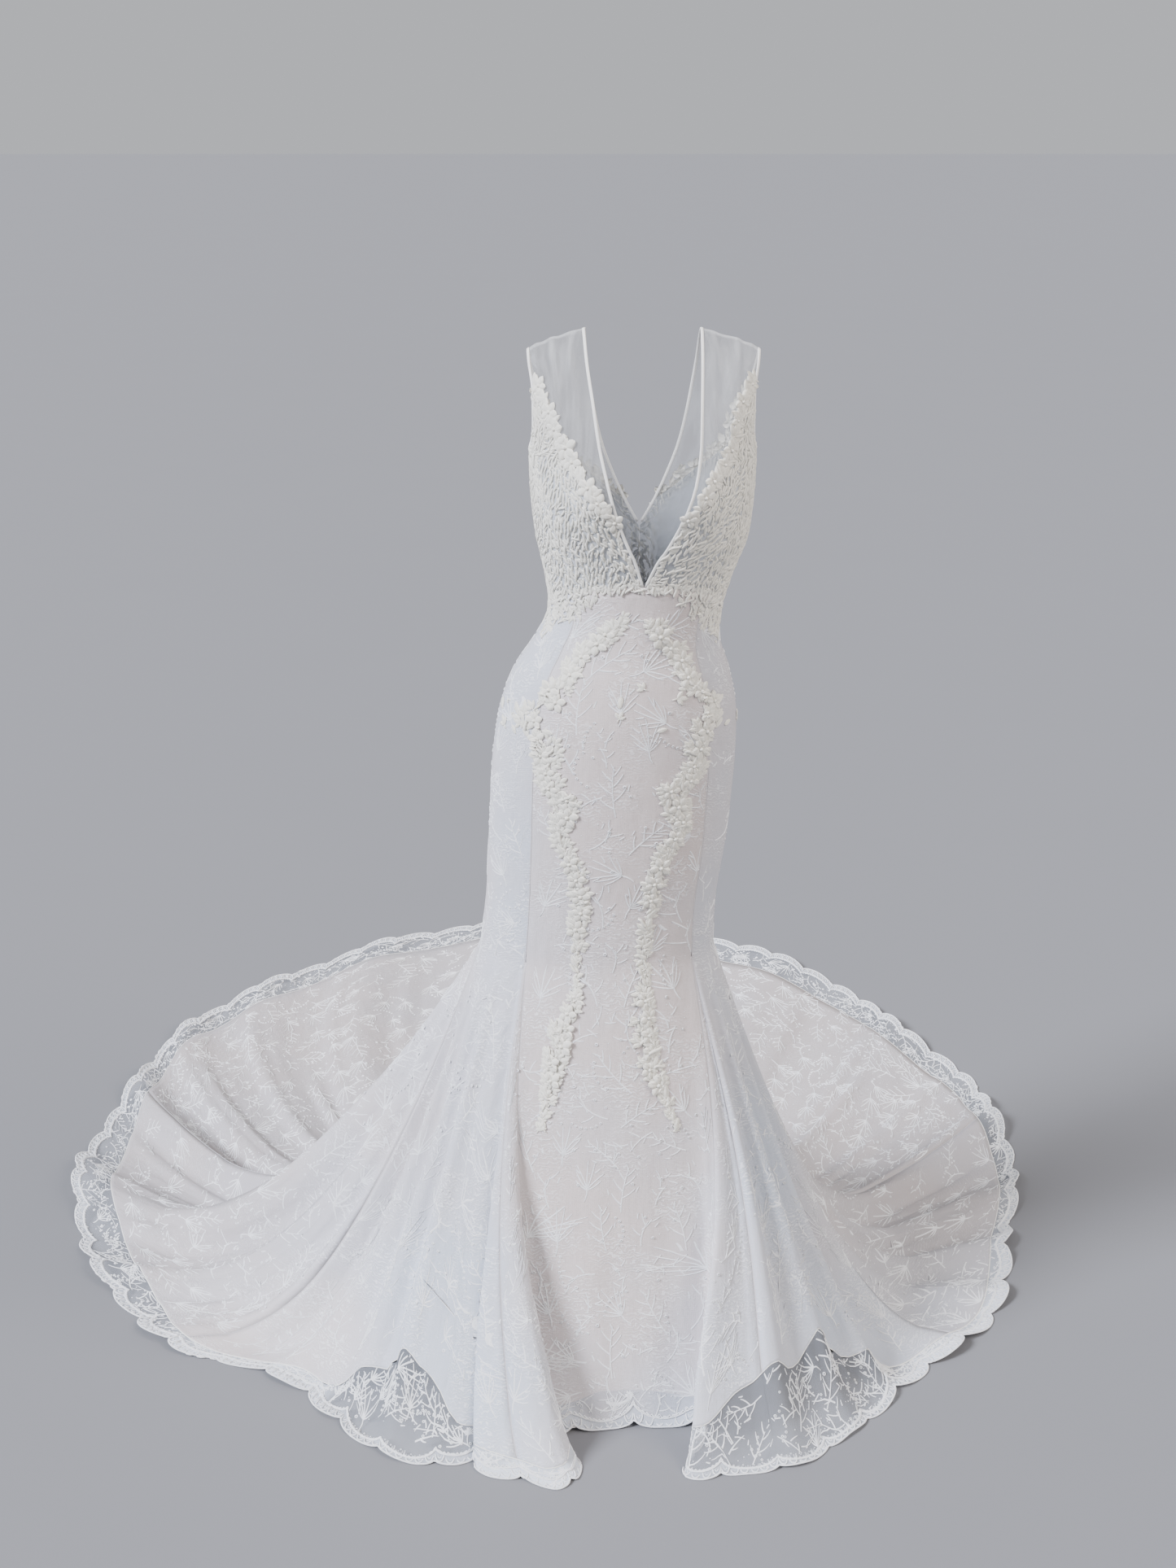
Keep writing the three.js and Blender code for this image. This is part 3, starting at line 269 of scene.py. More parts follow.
# The lines between which the cloth turns back on itself, and how far out that starts and ends.
DEEP_FOLDS = ((18.0, 33.0), (36.0, 46.0))
FOLD_FROM, FOLD_TO = 0.15, 0.75
# The cup of the bust: how far aside, how high, its half width and half height, and how deep it is.
BUST_ASIDE, BUST_HEIGHT, BUST_HALF, BUST_TALL, BUST_DEEP = 80.0, 1288.0, 44.0, 50.0, 17.0
# How far out the lying cloth loses its largest folds, and how much of them it loses.
LYING_LENGTH, LYING_LOSS = 900.0, 0.35
HALVINGS, WAIST_STEPS = 24, 6  # of the two searches for a place on the form
LEAST_SPREAD = 0.4  # between two columns of a net, where they meet in a point
LONG_TWIG = 20.0


def smoothstep(x: Array | float, low: float, high: float) -> Array:
    """Returns a share that rises smoothly from 0 at low to 1 at high."""
    f = np.clip((np.asarray(x, float) - low) / (high - low), 0, 1)
    return f * f * (3 - 2 * f)


def lerp(a: Array | float, b: Array | float, f: Array | float) -> Array:
    """Returns what lies a share f of the way from a to b."""
    return a + (np.asarray(b) - a) * f


def unit(vectors: Array) -> Array:
    """Returns the vectors at length 1."""
    return vectors / np.maximum(np.linalg.norm(vectors, axis=-1, keepdims=True), 1e-9)


def walked(points: Array) -> Array:
    """Returns how far along a path each of its points lies."""
    return np.append(0, np.linalg.norm(np.diff(points, axis=0), axis=-1).cumsum())


class Face(Enum):
    """The two faces of the bodice."""

    FRONT = "front"
    BACK = "back"


class Side(Enum):
    """The wearer's two sides, by the sign of their X."""

    RIGHT = -1
    LEFT = 1

    @property
    def word(self) -> str:
        """Returns the side's name as the nodes have it."""
        return self.name.lower()


class Form:
    """The form of the worn gown, worked out from the tables, in millimetres."""

    def __init__(self) -> None:
        """Runs the curves through the tables."""
        self.middle = SECTIONS.curve("middle", "height")
        self.half = SECTIONS.curve("half", "height")
        self.front = SECTIONS.curve("front", "height")
        self.back = SECTIONS.curve("back", "height")
        self.turn = TURNS.curve("turn", "height")
        self.arm_share = ARM_EDGE.curve("share", "height")
        self.knee, self.hem = LINES.curve("knee"), LINES.curve("hem")
        self.radius, self.reach, self.lace = (LINES.curve(n) for n in ("radius", "reach", "lace"))
        self.neck = {n: NECK_EDGE.curve(n, "height") for n in ("right", "left", "back")}
        self.lace_edge = {f: LACE_EDGE.curve(f.value, "across") for f in Face}

    def body(self, bearing: Array, height: Array) -> Array:
        """Finds points of the fitted part.

        Args:
            bearing: Degrees about the body.
            height: Millimetres from the floor.

        Returns:
            The points.
        """
        turn = np.radians(bearing)
        forward = np.cos(turn)
        depth = np.where(forward >= 0, self.front(height), self.back(height))
        x = self.middle(height) + self.half(height) * np.sin(turn)
        return np.stack(np.broadcast_arrays(x, -depth * forward, height - FLOOR_DROP), -1)

    def waist(self, bearing: Array) -> Array:
        """Returns the height of the waist seam at a bearing."""
        return WAIST_SIDE + WAIST_RISE * np.maximum(0, np.cos(np.radians(bearing))) ** WAIST_CURVE

    def upper(self, line: Array, share: Array) -> Array:
        """Finds points of the fitted skirt, from the waist seam (0) to the knee (1).

        Args:
            line: The lines that the points lie on.
            share: How far down each point lies.

        Returns:
            The points, with the slight drags of the cloth.
        """
        knee = self.knee(line)
        by_godet = ((line >= 25) & (line <= 29)) | ((line >= 40) & (line <= 44))
        knee = np.where(by_godet & (share < 1), np.sign(knee) * SEAM_BEARING, knee)
        height = lerp(self.waist(knee) - SEAM, KNEE, share)
        points = self.body(knee + self.turn(height), height)
        rise = np.zeros(np.shape(height))
        for bearing, middle, wide, tall, lean, high in DRAGS.rows:
            aside = (knee - bearing + 180) % 360 - 180
            below = (height - middle + lean * aside) / tall
            rise = rise + high * np.exp(-(aside / wide) ** 2 * 4 - below ** 2)
        facing = np.radians(knee)
        out = np.stack((np.sin(facing), -np.cos(facing), 0 * facing), -1)
        calm = np.sin(np.pi * np.clip(share, 0, 1)) ** 0.5
        return points + out * (rise * calm)[..., None]

    def even_hem(self, line: Array) -> Array:
        """Finds the hem bearings that the lines would have if no cloth turned back.

        Args:
            line: The lines, with their fractions.

        Returns:
            The bearings in degrees.
        """
        even = self.hem(line)
        for low, high in DEEP_FOLDS:
            f = (line - low) / (high - low)
            between = lerp(self.hem(low), self.hem(high), f)
            even = np.where((line > low) & (line < high), between, even)
        return even

    def fold_height(self, line: Array, fallen: Array, lying: Array) -> Array:
        """Finds how high the largest folds stand over the flare.

        Args:
            line: The lines, with their fractions.
            fallen: How far down the cloth has come, 0 to 1.
            lying: How much of it lies on the floor, 0 to 1.

        Returns:
            Millimetres above the plain form.
        """
        hem = self.hem(line)
        rise = 0.0
        for bearing, half, hang, lie in FOLDS.rows:
            away = np.minimum(np.abs(hem - bearing) / half, 1)
            bump = np.cos(away * np.pi / 2) ** 2
            rise = rise + bump * (hang * np.sin(np.pi * fallen) + lie * lying)
        return rise

    def crease_height(self, line: Array, way: Array) -> Array:
        """Finds how high the smaller creases stand over the flare.

        Args:
            line: The lines, with their fractions.
            way: How far out each point lies, 0 to 1.

        Returns:
            Millimetres above the plain form.
        """
        rise = 0.0
        for middle, drift, half, start, end, high in (*CREASES.rows, *GATHERS.rows):
            away = np.minimum(np.abs(line - middle - drift * (way - 0.5)) / half, 1)
            ends = smoothstep(way, start, start + 0.2) * (1 - smoothstep(way, end - 0.18, end))
            rise = rise + high * np.cos(away * np.pi / 2) ** 2 * ends
        return rise

    def flare(self, line: Array, share: Array) -> tuple[Array, Array, Array]:
        """Finds points of the flared skirt, from the knee (0) to the scalloped edge (1).

        Args:
            line: The lines that the points lie on.
            share: How far down each point lies.

        Returns:
            The points, the way that the cloth faces but for its folds, and how far out they are.
        """
        turned = self.knee(line) + self.turn(KNEE)
        start = self.body(turned, KNEE + 0 * turned)[..., :2] - HEM_CENTRE
        lean = np.degrees(np.arctan2(start[..., 0], -start[..., 1])) - turned
        begin = turned + lean - 360 * np.round(lean / 360)
        inner = np.linalg.norm(start, axis=-1)
        length = self.radius(line) - inner
        reach = np.minimum(self.reach(line), length)
        power = lerp(1.25, 2.0, smoothstep(length, 230, 520))
        run = reach * (1 - (1 - share) ** power) + (length - reach) * share ** 3
        way = run / length
        even = lerp(begin, self.even_hem(line), way)
        turned_back = self.hem(line) - self.even_hem(line)
        bearing = np.radians(even + turned_back * smoothstep(way, FOLD_FROM, FOLD_TO))
        fallen = np.minimum(1, run / reach)
        bend = lerp(1.35, 2.1, smoothstep(length, 200, 420))
        slope = (bend * KNEE / reach) * (1 - fallen) ** (bend - 1)
        out = np.stack((np.sin(bearing), -np.cos(bearing)), -1)
        facing = unit(np.concatenate((out * slope[..., None], 1 + 0 * slope[..., None]), -1))
        along = np.clip((run - reach) / LYING_LENGTH, 0, 1)
        lying = smoothstep(fallen, 0.55, 1) * (1 - LYING_LOSS * along)
        rise = self.fold_height(line, fallen, lying) + self.crease_height(line, way)
        level = KNEE * (1 - fallen) ** bend - FLOOR_DROP
        flat = HEM_CENTRE + out * (inner + run)[..., None]
        points = np.concatenate((flat, level[..., None]), -1)
        return points + facing * rise[..., None], facing, way

    def lining_share(self, line: Array) -> Array:
        """Finds where the lining stops and the lace goes on alone.

        Args:
            line: The lines, with their fractions.

        Returns:
            The share of each line's length there.
        """
        low, high = np.full(line.shape, 0.5), np.ones(line.shape)
        edge = self.flare(line, high)[0][..., :2]
        for _ in range(HALVINGS):
            middle = (low + high) / 2
            gap = np.linalg.norm(self.flare(line, middle)[0][..., :2] - edge, axis=-1)
            inside = gap > self.lace(line)
            low, high = np.where(inside, middle, low), np.where(inside, high, middle)
        return low

    def bodice(self, side: Side, face: Face, across: Array, height: Array) -> Array:
        """Finds points of the bodice and its shoulder pieces.

        Args:
            side: The wearer's right or left.
            face: Front or back.
            across: 0 at the neck's edge and 1 at the armhole or side seam.
            height: Millimetres from the floor, before the fall of the shoulder.

        Returns:
            The points.
        """
        middle, half = self.middle(height), self.half(height)
        back = side.value * self.neck["back"](height)
        edge = back if face is Face.BACK else self.neck[side.word](height)
        from_neck = np.arcsin(np.clip((edge - middle) / half, -1, 1))
        to_arm = side.value * np.arcsin(np.minimum(1, self.arm_share(height)))
        bearing = lerp(from_neck, to_arm, across)
        x = middle + half * np.sin(bearing)
        depth = -self.front(height) if face is Face.FRONT else self.back(height)
        y = depth * np.cos(bearing)
        if face is Face.FRONT:
            aside = (x - side.value * BUST_ASIDE) / BUST_HALF
            above = (height - BUST_HEIGHT) / BUST_TALL
            y = y - BUST_DEEP * np.exp(-aside ** 2 - above ** 2) * np.cos(bearing)
        slope = SHOULDER_SLOPE * across * smoothstep(height, SLOPE_START, SHOULDER)
        return np.stack(np.broadcast_arrays(x, y, height - slope - FLOOR_DROP), -1)

    def bodice_waist(self, side: Side, face: Face, across: Array) -> Array:
        """Finds the waist seam below points of the bodice.

        Args:
            side: The wearer's right or left.
            face: Front or back.
            across: 0 at the neck's edge and 1 at the side seam.

        Returns:
            Its height.
        """
        height = np.full(np.shape(across), WAIST_SIDE + WAIST_RISE)
        for _ in range(WAIST_STEPS):
            x = self.bodice(side, face, across, height)[..., 0]
            share = np.clip((x - self.middle(height)) / self.half(height), -1, 1)
            bearing = np.degrees(np.arcsin(share)) if face is Face.FRONT else 180 + 0 * share
            height = self.waist(bearing) + SEAM
        return height


@dataclass
class Cloth:
    """A net of points on a piece of cloth, columns by rows, in millimetres."""

    points: Array
    normals: Array

    @classmethod
    def on(cls, points: Array, toward: Array, closed: bool = False) -> "Cloth":
        """Makes a net and the normals that stand out of it.

        Args:
            points: The net, columns by rows.
            toward: The way that the cloth faces in the main, for the whole net or each point.
            closed: Whether the last column repeats the first.

        Returns:
            The cloth.
        """
        if closed:
            wide = np.concatenate((points[-2:-1], points, points[1:2]))
            across = wide[2:] - wide[:-2]
        else:
            across = np.gradient(points, axis=0)
        normals = unit(np.cross(np.gradient(points, axis=1), across))
        return cls(points, normals * np.sign((normals * toward).sum()))

    def part(self, columns: slice, rows: slice) -> "Cloth":
        """Returns a part of the net."""
        return Cloth(self.points[columns, rows].copy(), self.normals[columns, rows].copy())

    def chart(self) -> Array:
        """Measures how far across and along the cloth each point lies.

        Returns:
            Both distances in metres, the first from the cloth's middle.
        """
        p = self.points * MM
        across = np.linalg.norm(np.diff(p, axis=0), axis=-1).cumsum(0)
        across = np.concatenate((np.zeros((1, p.shape[1])), across))
        across -= across[-1:] / 2
        along = np.linalg.norm(np.diff(p, axis=1), axis=-1).cumsum(1)
        along = np.concatenate((np.zeros((p.shape[0], 1)), along), 1)
        return np.stack((across, along), -1)

    def drawn_in(self, gap: float) -> "Cloth":
        """Draws in both side edges.

        Args:
            gap: By how many millimetres.

        Returns:
            The narrower cloth.
        """
        p = self.points.copy()
        p[0] += unit(p[1] - p[0]) * gap
        p[-1] += unit(p[-2] - p[-1]) * gap
        return Cloth(p, self.normals)

    def at(self, column: Array, row: Array) -> tuple[Array, Array]:
        """Reads the cloth between its points.

        Args:
            column: Columns, with their fractions.
            row: Rows, with theirs.

        Returns:
            The points and normals there.
        """
        c = np.clip(column, 0, self.points.shape[0] - 1.000001)
        r = np.clip(row, 0, self.points.shape[1] - 1.000001)
        i, j = c.astype(int), r.astype(int)
        f, g = (c - i)[..., None], (r - j)[..., None]

        def mix(net: Array) -> Array:
            """Reads a net between its points.

            Args:
                net: Its values, columns by rows.

            Returns:
                The values between the four nearest points.
            """
            one = net[i, j] * (1 - g) + net[i, j + 1] * g
            two = net[i + 1, j] * (1 - g) + net[i + 1, j + 1] * g
            return one * (1 - f) + two * f

        return mix(self.points), unit(mix(self.normals))

    def walk(self, column: float, row: float, across: Array, along: Array) -> tuple[Array, Array]:
        """Goes from one place on the cloth by distances across and along it.

        Args:
            column: The column to start from.
            row: The row to start from.
            across: Millimetres towards the later columns.
            along: Millimetres towards the later rows.

        Returns:
            The columns and rows that this leads to.
        """
        count = self.points.shape
        c = int(np.clip(round(column), 1, count[0] - 2))
        lengths, index = walked(self.points[c]), np.arange(count[1])
        rows = np.interp(np.interp(row, index, lengths) + along, lengths, index)
        spread = np.linalg.norm(self.points[c + 1] - self.points[c - 1], axis=-1) / 2
        return column + across / np.interp(rows, index, np.maximum(spread, LEAST_SPREAD)), rows


def placed(name: str, data: bpy.types.ID) -> Thing:
    """Puts a new object in the scene.

    Args:
        name: Its name.
        data: What it shows.

    Returns:
        The object.
    """
    thing = bpy.data.objects.new(name, data)
    bpy.context.scene.collection.objects.link(thing)
    return thing


class MeshMaker:
    """Turns nets of points into meshes of the scene."""

    @staticmethod
    def link(name: str, verts: Array, faces: Array, materials: Sequence[Material]) -> Thing:
        """Makes an object of triangles or quads.

        Args:
            name: The object's name.
            verts: Points in metres.
            faces: Indices, one row for each face.
            materials: Its materials.

        Returns:
            The object, linked to the scene.
        """
        mesh = bpy.data.meshes.new(name)
        mesh.vertices.add(len(verts))
        mesh.vertices.foreach_set("co", np.asarray(verts, np.float32).ravel())
        size = faces.shape[1]
        mesh.loops.add(faces.size)
        mesh.loops.foreach_set("vertex_index", faces.astype(np.int32).ravel())
        mesh.polygons.add(len(faces))
        mesh.polygons.foreach_set("loop_start", np.arange(0, faces.size, size, dtype=np.int32))
        mesh.update(calc_edges=True)
        mesh.polygons.foreach_set("use_smooth", np.ones(len(faces), bool))
        for material in materials:
            mesh.materials.append(material)
        return placed(name, mesh)

    @staticmethod
    def grid(columns: int, rows: int, start: int = 0) -> Array:
        """Lists the quads of a net, facing the way that its columns and rows turn.

        Args:
            columns: How many columns it has.
            rows: How many rows.
            start: The index of its first point.

        Returns:
            Four indices for each quad.
        """
        c, r = np.meshgrid(np.arange(columns - 1), np.arange(rows - 1), indexing="ij")
        a = (start + c * rows + r).ravel()
        return np.stack((a, a + 1, a + rows + 1, a + rows), -1)

    @staticmethod
    def tube(rings: int, sides: int) -> Array:
        """Lists the triangles of a row of rings, closed by a fan at each end.

        Args:
            rings: How many rings there are.
            sides: Points in each ring.

        Returns:
            Three indices for each triangle.
        """
        i, j = np.meshgrid(np.arange(rings - 1), np.arange(sides), indexing="ij")
        a, b = (i * sides + j).ravel(), (i * sides + (j + 1) % sides).ravel()
        walls = np.stack((a, b, b + sides), -1), np.stack((a, b + sides, a + sides), -1)
        k = np.arange(1, sides - 1)
        fan = np.stack((0 * k, k + 1, k), -1)
        return np.concatenate((*walls, fan, fan[:, ::-1] + (rings - 1) * sides))

    @staticmethod
    def mark(thing: Thing, name: str, values: Array) -> None:
        """Stores a number or a vector at each point of a mesh.

        Args:
            thing: The object.
            name: The attribute's name.
            values: One row for each point.
        """
        kind = "FLOAT_VECTOR" if values.ndim == 2 else "FLOAT"
        key = "vector" if values.ndim == 2 else "value"
        made = thing.data.attributes.new(name, kind, "POINT")
        made.data.foreach_set(key, values.astype(np.float32).ravel())

    @staticmethod
    def spread(thing: Thing, chart: Array) -> None:
        """Lays the cloth's own chart on a mesh as its UV map.

        Args:
            thing: The object.
            chart: Metres across and along the cloth at each point.
        """
        layer = thing.data.uv_layers.new(name="cloth")
        index = np.zeros(len(thing.data.loops), np.int32)
        thing.data.loops.foreach_get("vertex_index", index)
        layer.data.foreach_set("uv", chart[index].astype(np.float32).ravel())

    @classmethod
    def shell(cls, name: str, cloth: Cloth, low: float, high: float, outer: Material,
              inner: Material) -> Thing:
        """Makes a closed thin wall on a net.

        Args:
            name: The object's name.
            cloth: The net.
            low: How far its inner face stands off the net, in millimetres.
            high: The same for its outer face.
            outer: The material outside.
            inner: The material inside.

        Returns:
            The object, with the chart as its UV map and the distance to its side seams.
        """
        columns, rows = cloth.points.shape[:2]
        count = columns * rows
        inside = (cloth.points + cloth.normals * low).reshape(-1, 3) * MM
        outside = (cloth.points + cloth.normals * high).reshape(-1, 3) * MM
        front, back = cls.grid(columns, rows, count), cls.grid(columns, rows)[:, ::-1]
        border = np.concatenate((
            np.arange(rows), np.arange(1, columns) * rows + rows - 1,
            (columns - 1) * rows + np.arange(rows - 2, -1, -1), np.arange(columns - 2, 0, -1) * rows,
        ))
        after = np.roll(border, -1)
        rim = np.stack((border, after, after + count, border + count), -1)
        faces = np.concatenate((front, back, rim))
        verts = np.concatenate((inside, outside))
        quad = [verts[faces[:, k]] for k in range(4)]
        volume = sum(np.einsum("ij,ij->", quad[0], np.cross(quad[k], quad[k + 1])) for k in (1, 2))
        faces = faces if volume > 0 else faces[:, ::-1]
        thing = cls.link(name, verts, faces, (outer, inner))
        slots = np.zeros(len(faces), np.int32)
        slots[len(front):len(front) + len(back)] = 1
        thing.data.polygons.foreach_set("material_index", slots)
        cls.dress(thing, cloth, 2)
        return thing

    @classmethod
    def sheet(cls, name: str, cloth: Cloth, lift: float, material: Material) -> Thing:
        """Makes a single layer on a net, facing out of the gown.

        Args:
            name: The object's name.
            cloth: The net.
            lift: Millimetres above the net.
            material: Its material.

        Returns:
            The object, linked to the scene.
        """
        columns, rows = cloth.points.shape[:2]
        verts = (cloth.points + cloth.normals * lift).reshape(-1, 3) * MM
        faces = cls.grid(columns, rows)
        c, r = columns // 2, rows // 2
        a, b, d = verts[faces[c * (rows - 1) + min(r, rows - 2)]][:3]
        if np.dot(np.cross(b - a, d - a), cloth.normals[c, r]) < 0:
            faces = faces[:, ::-1]
        thing = cls.link(name, verts, faces, (material,))
        cls.dress(thing, cloth, 1)
        return thing

    @classmethod
    def dress(cls, thing: Thing, cloth: Cloth, layers: int) -> None:
        """Adds a net's chart and its distance to the side seams to a mesh.

        Args:
            thing: The object.
            cloth: The net.
            layers: One or two layers of the net's points.
        """
        chart = cloth.chart()
        inset = np.abs(chart[-1:, :, 0]) - np.abs(chart[..., 0])
        cls.spread(thing, np.tile(chart.reshape(-1, 2), (layers, 1)))
        cls.mark(thing, "inset", np.tile(inset.ravel(), layers))


def srgb(code: str) -> tuple[float, float, float, float]:
    """Returns a hexadecimal colour as Blender's linear colour with full alpha."""
    parts = [int(code[i:i + 2], 16) / 255 for i in (0, 2, 4)]
    return (*(p / 12.92 if p <= 0.04045 else ((p + 0.055) / 1.055) ** 2.4 for p in parts), 1.0)


class Graph:
    """Places and joins the nodes of one tree."""

    def __init__(self, tree: Tree) -> None:
        """Keeps the tree."""
        self.tree = tree

    def put(self, kind: str, inputs: dict | None = None, **settings: object) -> Node:
        """Places a node.

        Args:
            kind: The node's type.
            inputs: Its input sockets, by name or number, with a value or a socket to join.
            settings: Its other settings.

        Returns:
            The node.
        """
        node = self.tree.nodes.new(kind)
        for key, value in settings.items():
            setattr(node, key, value)
        for key, value in (inputs or {}).items():
            self.feed(node.inputs[key], value)
        return node

    def feed(self, socket: Socket, value: object) -> None:
        """Joins a socket to another one, or gives it a value.

        Args:
            socket: The input socket.
            value: The other socket, or the value.
        """
        if isinstance(value, Socket):
            self.tree.links.new(value, socket)
        else:
            socket.default_value = value

    def math(self, operation: str, a: object, b: object = 0.0, clamp: bool = False) -> Socket:
        """Places a Math node and returns its result."""
        return self.put("ShaderNodeMath", {0: a, 1: b}, operation=operation, use_clamp=clamp).outputs[0]

    def ramp(self, value: object, low: float, high: float, to_low: float, to_high: float) -> Socket:
        """Places a smooth Map Range and returns its result."""
        sockets = {"Value": value, "From Min": low, "From Max": high, "To Min": to_low, "To Max": to_high}
        return self.put("ShaderNodeMapRange", sockets, interpolation_type="SMOOTHSTEP").outputs[0]

    def blend(self, share: object, one: object, other: object) -> Socket:
        """Places a colour mix.

        Args:
            share: How much of the other colour shows, 0 to 1.
            one: The first colour.
            other: The other colour.

        Returns:
            The mixed colour.
        """
        node = self.put("ShaderNodeMix", data_type="RGBA")
        for index, value in ((0, share), (6, one), (7, other)):
            self.feed(node.inputs[index], value)
        return node.outputs[2]


@dataclass(frozen=True)
class Port:
    """One socket of a node group."""

    name: str
    kind: str = "NodeSocketFloat"
    value: object = None


def new_group(name: str, kind: str, inputs: Sequence[Port],
              outputs: Sequence[Port]) -> tuple[Graph, dict, Node]:
    """Starts a node group.

    Args:
        name: The group's name.
        kind: ShaderNodeTree or GeometryNodeTree.
        inputs: Its input sockets.
        outputs: Its output sockets.

    Returns:
        The graph, its input sockets by name, and its output node.
    """
    tree = bpy.data.node_groups.new(name, kind)
    for port in inputs:
        socket = tree.interface.new_socket(port.name, in_out="INPUT", socket_type=port.kind)
        if port.value is not None:
            socket.default_value = port.value
    for port in outputs:
        tree.interface.new_socket(port.name, in_out="OUTPUT", socket_type=port.kind)
    graph = Graph(tree)
    entry, leave = graph.put("NodeGroupInput"), graph.put("NodeGroupOutput")
    return graph, {socket.name: socket for socket in entry.outputs}, leave


class Weaves:
    """The shader groups that several cloths share."""

    def __init__(self) -> None:
        """Builds the groups."""
        self.net, self.twist = self._net(), self._twist()
        self.tone, self.crinkle = self._tone(), self._crinkle()

    @staticmethod
    def _net() -> Tree:
        """Builds the six-sided cells of a net.

        Returns:
            The group.
        """
        graph, given, leave = new_group(
            "Net cells", "ShaderNodeTree",
            [Port("Vector", "NodeSocketVector"), Port("Cells per metre", value=520.0),
             Port("Thread", value=0.12)],
            [Port("Mask"), Port("Height")],
        )
        sockets = {"Vector": given["Vector"], "Scale": given["Cells per metre"], "Randomness": 0.3}
        cells = graph.put("ShaderNodeTexVoronoi", sockets, feature="DISTANCE_TO_EDGE",
                          voronoi_dimensions="2D")
        share = graph.math("DIVIDE", cells.outputs["Distance"], given["Thread"], clamp=True)
        mask = graph.math("SUBTRACT", 1.0, share, clamp=True)
        graph.feed(leave.inputs["Mask"], mask)
        graph.feed(leave.inputs["Height"], graph.math("POWER", mask, 0.6))
        return graph.tree

    @staticmethod
    def _twist() -> Tree:
        """Builds the slanting plies of a corded thread.

        Returns:
            The group.
        """
        graph, given, leave = new_group(
            "Twisted thread", "ShaderNodeTree",
            [Port("Vector", "NodeSocketVector"), Port("Plies per metre", value=700.0)],
            [Port("Height"), Port("Mask")],
        )
        turned = graph.put("ShaderNodeMapping", {"Vector": given["Vector"], "Rotation": (0.5, 0.3, 0.7)})
        bands = {"Vector": turned.outputs[0], "Scale": given["Plies per metre"], "Distortion": 2.0,
                 "Detail": 1.0}
        wave = graph.put("ShaderNodeTexWave", bands)
        fine = {"Vector": given["Vector"], "Scale": given["Plies per metre"], "Detail": 2.0}
        fibre = graph.put("ShaderNodeTexNoise", fine)
        mixed = graph.math("MULTIPLY", wave.outputs["Fac"], 0.6)
        mixed = graph.math("ADD", mixed, graph.math("MULTIPLY", fibre.outputs["Fac"], 0.4))
        graph.feed(leave.inputs["Height"], mixed)
        graph.feed(leave.inputs["Mask"], graph.ramp(mixed, 0.25, 0.7, 0.0, 1.0))
        return graph.tree

    @staticmethod
    def _tone() -> Tree:
        """Builds the shift of a cloth between its warm and cool zones.

        Returns:
            The group.
        """
        graph, given, leave = new_group(
            "Cloth tone", "ShaderNodeTree",
            [Port("Vector", "NodeSocketVector"), Port("Coolness", value=0.5), Port("Warm", "NodeSocketColor"),
             Port("Cool", "NodeSocketColor"), Port("Patches per metre", value=4.0)],
            [Port("Color", "NodeSocketColor")],
        )
        sockets = {"Vector": given["Vector"], "Scale": given["Patches per metre"], "Detail": 2.0}
        cloud = graph.put("ShaderNodeTexNoise", sockets)
        drift = graph.ramp(cloud.outputs["Fac"], 0.3, 0.7, -0.22, 0.22)
        share = graph.math("ADD", given["Coolness"], drift, clamp=True)
        graph.feed(leave.inputs["Color"], graph.blend(share, given["Warm"], given["Cool"]))
        return graph.tree

    @staticmethod
    def _crinkle() -> Tree:
        """Builds the soft, slow unevenness of handled cloth.

        Returns:
            The group.
        """
        graph, given, leave = new_group(
            "Soft crinkle", "ShaderNodeTree",
            [Port("Vector", "NodeSocketVector"), Port("Waves per metre", value=28.0)], [Port("Height")],
        )
        stretched = graph.put("ShaderNodeMapping", {"Vector": given["Vector"], "Scale": (1.0, 0.35, 1.0)})
        sockets = {"Vector": stretched.outputs[0], "Scale": given["Waves per metre"], "Detail": 3.0,
                   "Roughness": 0.55}
        graph.feed(leave.inputs["Height"], graph.put("ShaderNodeTexNoise", sockets).outputs["Fac"])
        return graph.tree


class Paint:
    """Starts a material and joins the groups that it needs."""

    def __init__(self, name: str, weaves: Weaves) -> None:
        """Makes an empty material with its shader and output.

        Args:
            name: The material's name.
            weaves: The shared groups.
        """
        self.material = bpy.data.materials.new(name)
        self.material.use_nodes = True
        self.material.node_tree.nodes.clear()
        self.graph, self.weaves = Graph(self.material.node_tree), weaves
        self.shader = self.graph.put("ShaderNodeBsdfPrincipled")
        self.graph.put("ShaderNodeOutputMaterial", {"Surface": self.shader.outputs[0]})
        self.cloth = self.graph.put("ShaderNodeUVMap", uv_map="cloth").outputs[0]
        self.place = self.graph.put("ShaderNodeTexCoord").outputs["Object"]

    def group(self, tree: Tree, **inputs: object) -> Node:
        """Places a shared group with its own values."""
        sockets = {key.replace("_", " "): value for key, value in inputs.items()}
        return self.graph.put("ShaderNodeGroup", sockets, node_tree=tree)

    def read(self, name: str) -> Socket:
        """Returns the socket of a number stored on the mesh."""
        return self.graph.put("ShaderNodeAttribute", attribute_name=name).outputs["Fac"]

    def set(self, **values: object) -> None:
        """Sets or joins the shader's sockets, named with _ for a space."""
        for key, value in values.items():
            self.graph.feed(self.shader.inputs[key.replace("_", " ")], value)

    def bump(self, height: Socket, depth: float, before: Socket | None = None) -> Socket:
        """Places a Bump node.

        Args:
            height: The relief, 0 to 1.
            depth: How deep that is, in metres.
            before: The normal of a bump below this one.

        Returns:
            The normal.
        """
        sockets = {"Height": height, "Distance": depth, "Strength": 1.0}
        if before is not None:
            sockets["Normal"] = before
        return self.graph.put("ShaderNodeBump", sockets).outputs[0]


